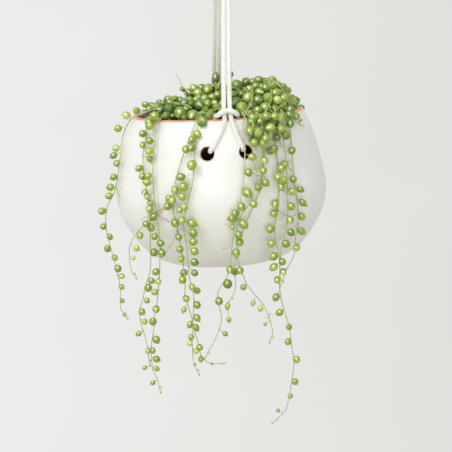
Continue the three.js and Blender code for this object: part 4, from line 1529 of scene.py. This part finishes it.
def rear_leaf(leaves, stems, centre, diameter, side, rng):
    """One leaf beside a place on a stem behind the bowl, clear of the bowl's wall."""
    local = to_bowl(centre)[0]
    reach = diameter / 2 + 1.1
    out = unit(np.array([local[0], local[1], 0]))
    aside = np.array([-out[1], out[0], 0]) * side
    point = local + aside * reach * rng.uniform(0.75, 1.0) + out * reach * rng.uniform(0.1, 0.6)
    wall = bowl_radius(max(-point[2], 0)) + diameter / 2 + WALL_GAP
    flat = np.hypot(point[0], point[1])
    if flat < wall:
        point[:2] *= wall / flat
    world = from_bowl(point)[0]
    astray = np.array([rng.gauss(0, 0.6), rng.gauss(0, 0.6), rng.gauss(-0.5, 0.5)])
    tip = unit(world - centre + astray)
    add_leaf(leaves, world, diameter, tip, min(0.9, max(0.1, rng.gauss(0.48, 0.13))), rng)
    end = world - tip * diameter / 2 * STALK_REACH
    add_stalk(stems, centre, (centre + end) / 2 + np.array([0, 0, 0.3]), end)


def add_rear_vine(index, angle, length, leaf, stem, rng):
    """A vine behind the bowl, its leaves set alternately along it by rule."""
    stems = Soup()
    leaves = Soup()
    sway = rng.uniform(0, 6)
    points = over_rim(angle, REAR_RIM_HEIGHTS)
    for depth in range(3, length, 14):
        radius = bowl_radius(min(depth, WIDEST_DEPTH)) + REAR_STAND_OFF
        turned = angle + 1.6 * math.sin(depth / 17 + sway)
        points.append(from_bowl(polar(turned, radius, -depth))[0])
    path = add_stem(stems, points, STEM_RADIUS, (0.2, 0.0))
    run = run_along(path)
    place = 14.0
    side = 1
    while place < run[-1] - 3:
        centre = np.array([np.interp(place, run, path[:, k]) for k in range(3)])
        diameter = (USUAL_LEAF + rng.uniform(-0.9, 1.1)) * (1 - 0.3 * (place / run[-1]) ** 3)
        rear_leaf(leaves, stems, centre, diameter, side, rng)
        side = -side if rng.random() < 0.8 else side
        place += rng.uniform(4.6, 9.5)
    add_bud(leaves, path, rng)
    save_vine(f"rear_{index}", leaves, stems, leaf, stem)


def add_spill(leaves, stems):
    """Leaves of the crown that hang over the rim at the front, one close above another."""
    rng = random.Random(23)
    for x, z, diameter in SPILL:
        local = to_bowl((x, 0, z))[0]
        reach = bowl_radius(max(-local[2], 0)) + diameter / 2 + 0.6
        y = -math.sqrt(max(reach ** 2 - local[0] ** 2, 1))
        hung = off_wall(np.array([x, y, z]), diameter)
        tuft = tuft_of(to_bowl(hung)[0])
        world = push_clear(hung, diameter)
        tip = unit(np.array([rng.gauss(0, 0.5), -0.7, rng.gauss(-0.5, 0.4)]))
        add_leaf(leaves[tuft], world, diameter, tip, rng.gauss(0.46, 0.12), rng)
        above = world + np.array([rng.uniform(-1.5, 1.5), 3.5, 6.0])
        if not near_strand(above, 1.5) and above[2] > RIM_CENTRE[2] + 2:
            bend = (above + world) / 2 + np.array([0, -0.5, 1.0])
            add_stem(stems[tuft], [above, bend, world], 0.45, (0.15, 0.1))


# Long pale stems that cross the crown, each a few (x, y, height) places in the bowl's frame.
LOOSE_STEMS = [
    [(18, -60, 9), (24, -69, 4), (28, -75, -1), (31, -78, -7)],
    [(31, -46, 19), (29, -58, 12), (25, -68, 6), (22, -75, -1), (21, -77, -6)],
    [(46, -40, 20), (45, -55, 12), (40, -66, 4), (37, -74, -3)],
    [(60, -30, 10), (57, -44, 8), (48, -60, 3), (43, -70, -8), (40, -77, -20)],
    [(40, -14, 27.5), (45, -22, 27.5), (50, -30, 25), (55, -33, 20), (59, -33, 12)],
    [(4, -40, 21), (8, -36, 23), (14, -38, 23), (20, -42, 21)],
    [(-36, -40, 13), (-31, -47, 12), (-26, -51, 12), (-20, -56, 9)],
    [(6, -56, 9), (0, -60, 7.5), (-8, -62, 5), (-16, -60, 6)],
    [(56, -40, 4), (60.5, -43.5, 0), (64, -42, -5.5), (68, -39, -9.7), (72.6, -32.4, -13)],
]
SPRIG = [(-26.5, -24, 17), (-27.5, -24, 23), (-30.5, -24, 31), (-33, -24, 36)]
BUD_STEM = [(12.5, -24, 22), (13.5, -22, 26), (14, -20.5, 30)]
# Leaves that stand alone: tuft, place and tip in the bowl's frame, diameter, paleness and stretch.
LONE_LEAVES = [
    ("front_right", (69.6, -35.4, -7.6), (0.6, -0.3, 0.5), 2.8, 0.6, 1.3),
    ("front_left", (-28, -25.5, 22.5), (-0.7, -0.2, 0.6), 4.2, 0.35, 1.3),
    ("front", (14, -20, 32.5), (0.1, 0, 1), 3.4, 0.0, 1.5),
    ("rear", (0, 9, 27), (0.1, 0, 1), 8.4, 0.16, 1.45),
]


def add_loose_stems(leaves, stems):
    """The stems that arch over the crown, and a dry sprig and a few leaves that stand up from it."""
    rng = random.Random(31)
    for points in LOOSE_STEMS:
        add_stem(stems[tuft_of(points[0])], from_bowl(points), 0.6, (0.0, 0.25))
    add_stem(stems[tuft_of(SPRIG[0])], from_bowl(SPRIG), 0.45, (0.25, 0.5))
    add_stem(stems[tuft_of(BUD_STEM[0])], from_bowl(BUD_STEM), 0.4, (0.2, 0.6))
    for tuft, place, tip, diameter, paleness, stretch in LONE_LEAVES:
        soup = leaves[CROWN_TUFTS.index(tuft)]
        add_leaf(soup, from_bowl(place)[0], diameter, tip, paleness, rng, stretch)


# ----------------------------------------------------------------------- studio

STUDIO_RADIUS = 4.6
STUDIO_FLOOR = -2.3
# How strongly the cove glows, as painted light.
STUDIO_GLOW = 0.84
STUDIO_SWEEP = 1.1  # radius of the curve between floor and wall
STUDIO_SEGMENTS = 96
# Square lamps: place and size in metres, power in watts, and colour.
LAMPS = {
    "key": ((-1.05, -1.6, 1.05), 0.6, 10.8, (1.0, 0.985, 0.96)),
    "fill": ((0.5, -1.9, -0.55), 0.9, 7.4, (1.0, 1.0, 1.0)),
    "sparkle": ((-0.7, -1.5, 1.2), 1.5, 190.0, (1.0, 1.0, 0.98)),
    "top": ((-0.3, 0.3, 1.6), 1.0, 7.0, (0.98, 0.99, 1.0)),
}
SHEEN_ONLY = {"sparkle"}  # lamps that show only as highlights


def add_cove():
    """A pale floor that curves up into walls all round."""
    profile = [(r, STUDIO_FLOOR) for r in (1.2, 2.4, STUDIO_RADIUS - STUDIO_SWEEP)]
    for turn in range(10, 91, 10):
        angle = math.radians(turn)
        radius = STUDIO_RADIUS - STUDIO_SWEEP * (1 - math.sin(angle))
        profile.append((radius, STUDIO_FLOOR + STUDIO_SWEEP * (1 - math.cos(angle))))
    profile += [(STUDIO_RADIUS, 0.5), (STUDIO_RADIUS, 3.2)]
    mesh = bmesh.new()
    angles = ring_angles(STUDIO_SEGMENTS)
    rows = [
        [mesh.verts.new((radius * math.sin(a), -radius * math.cos(a), height)) for a in angles]
        for radius, height in profile
    ]
    for low, high in zip(rows, rows[1:]):
        for j in range(STUDIO_SEGMENTS):
            k = (j + 1) % STUDIO_SEGMENTS
            mesh.faces.new((low[k], low[j], high[j], high[k]))
    mesh.faces.new(rows[0])
    for face in mesh.faces:
        face.smooth = True
    sweep = bpy.data.meshes.new("studio_sweep")
    mesh.to_mesh(sweep)
    mesh.free()
    cove = link(bpy.data.objects.new("studio_sweep", sweep))
    cove.data.materials.append(studio_material())


def add_world():
    """Even light from above the walls, a little under white."""
    world = bpy.data.worlds.new("studio_ceiling")
    world.use_nodes = True
    background = world.node_tree.nodes["Background"]
    background.inputs["Color"].default_value = (0.86, 0.86, 0.85, 1.0)
    background.inputs["Strength"].default_value = 0.85
    bpy.context.scene.world = world


def add_lamp(name, place, size, power, colour):
    """A square lamp that faces the middle of the bowl."""
    lamp = bpy.data.lights.new(name, "AREA")
    lamp.shape = "SQUARE"
    lamp.size = size
    lamp.energy = power
    lamp.color = colour
    light = link(bpy.data.objects.new(name, lamp))
    light.location = place
    middle = Vector(RIM_CENTRE * MM) - Vector((0, 0, 0.06))
    light.rotation_euler = (middle - light.location).to_track_quat("-Z", "Y").to_euler()
    light.visible_diffuse = name not in SHEEN_ONLY


# --------------------------------------------------------------------- assembly

bpy.context.scene.view_settings.view_transform = "Standard"
add_camera()

cotton = cotton_material("cotton_cord", (0.96, 0.95, 0.92), (0.89, 0.87, 0.82))
front_loop = Loop(**FRONT_LOOP)
rear_loop = Loop(**REAR_LOOP)
add_cord("braided_front_cord", front_loop, cotton)
add_cord("braided_rear_cord", rear_loop, cotton)
thread = cotton_material("waxed_thread", (0.80, 0.75, 0.64), (0.62, 0.56, 0.45))
add_whipping("wound_front_whipping", front_loop, thread)
add_whipping("wound_rear_whipping", rear_loop, thread)
add_ring(wood_material())

# The straight runs of the strands, which the leaves keep clear of.
STRANDS = [
    (loop.strand(mirror, BELOW_WHIPPING), loop.hitch_point(mirror, HITCH[0]))
    for loop in (front_loop, rear_loop) for mirror in (1, -1)
]

add_bowl(glaze_material())
add_nursery_pot(nursery_material())
soil = soil_material()
add_mix(soil)
add_root_ball(soil)

leaf_look = leaf_material()
stem_look = stem_material()
crown_leaf_soups, crown_stem_soups = add_crown()
add_spill(crown_leaf_soups, crown_stem_soups)
add_loose_stems(crown_leaf_soups, crown_stem_soups)
for tuft, leaves, stems in zip(CROWN_TUFTS, crown_leaf_soups, crown_stem_soups):
    node = "crown_tuft_" + tuft
    leaves.piece(f"crown_{tuft}_leaves", [leaf_look], "planter", "leaf_crown", node)
    stems.piece(f"crown_{tuft}_stems", [stem_look], "planter", "leaf_crown", node)

vine_rng = random.Random(47)
for name, vine in VINES.items():
    add_vine(name, vine, leaf_look, stem_look, vine_rng)
for index, (angle, length) in enumerate(REAR_VINES, 1):
    add_rear_vine(index, angle, length, leaf_look, stem_look, vine_rng)

add_cove()
add_world()
for name, lamp in LAMPS.items():
    add_lamp(name, *lamp)
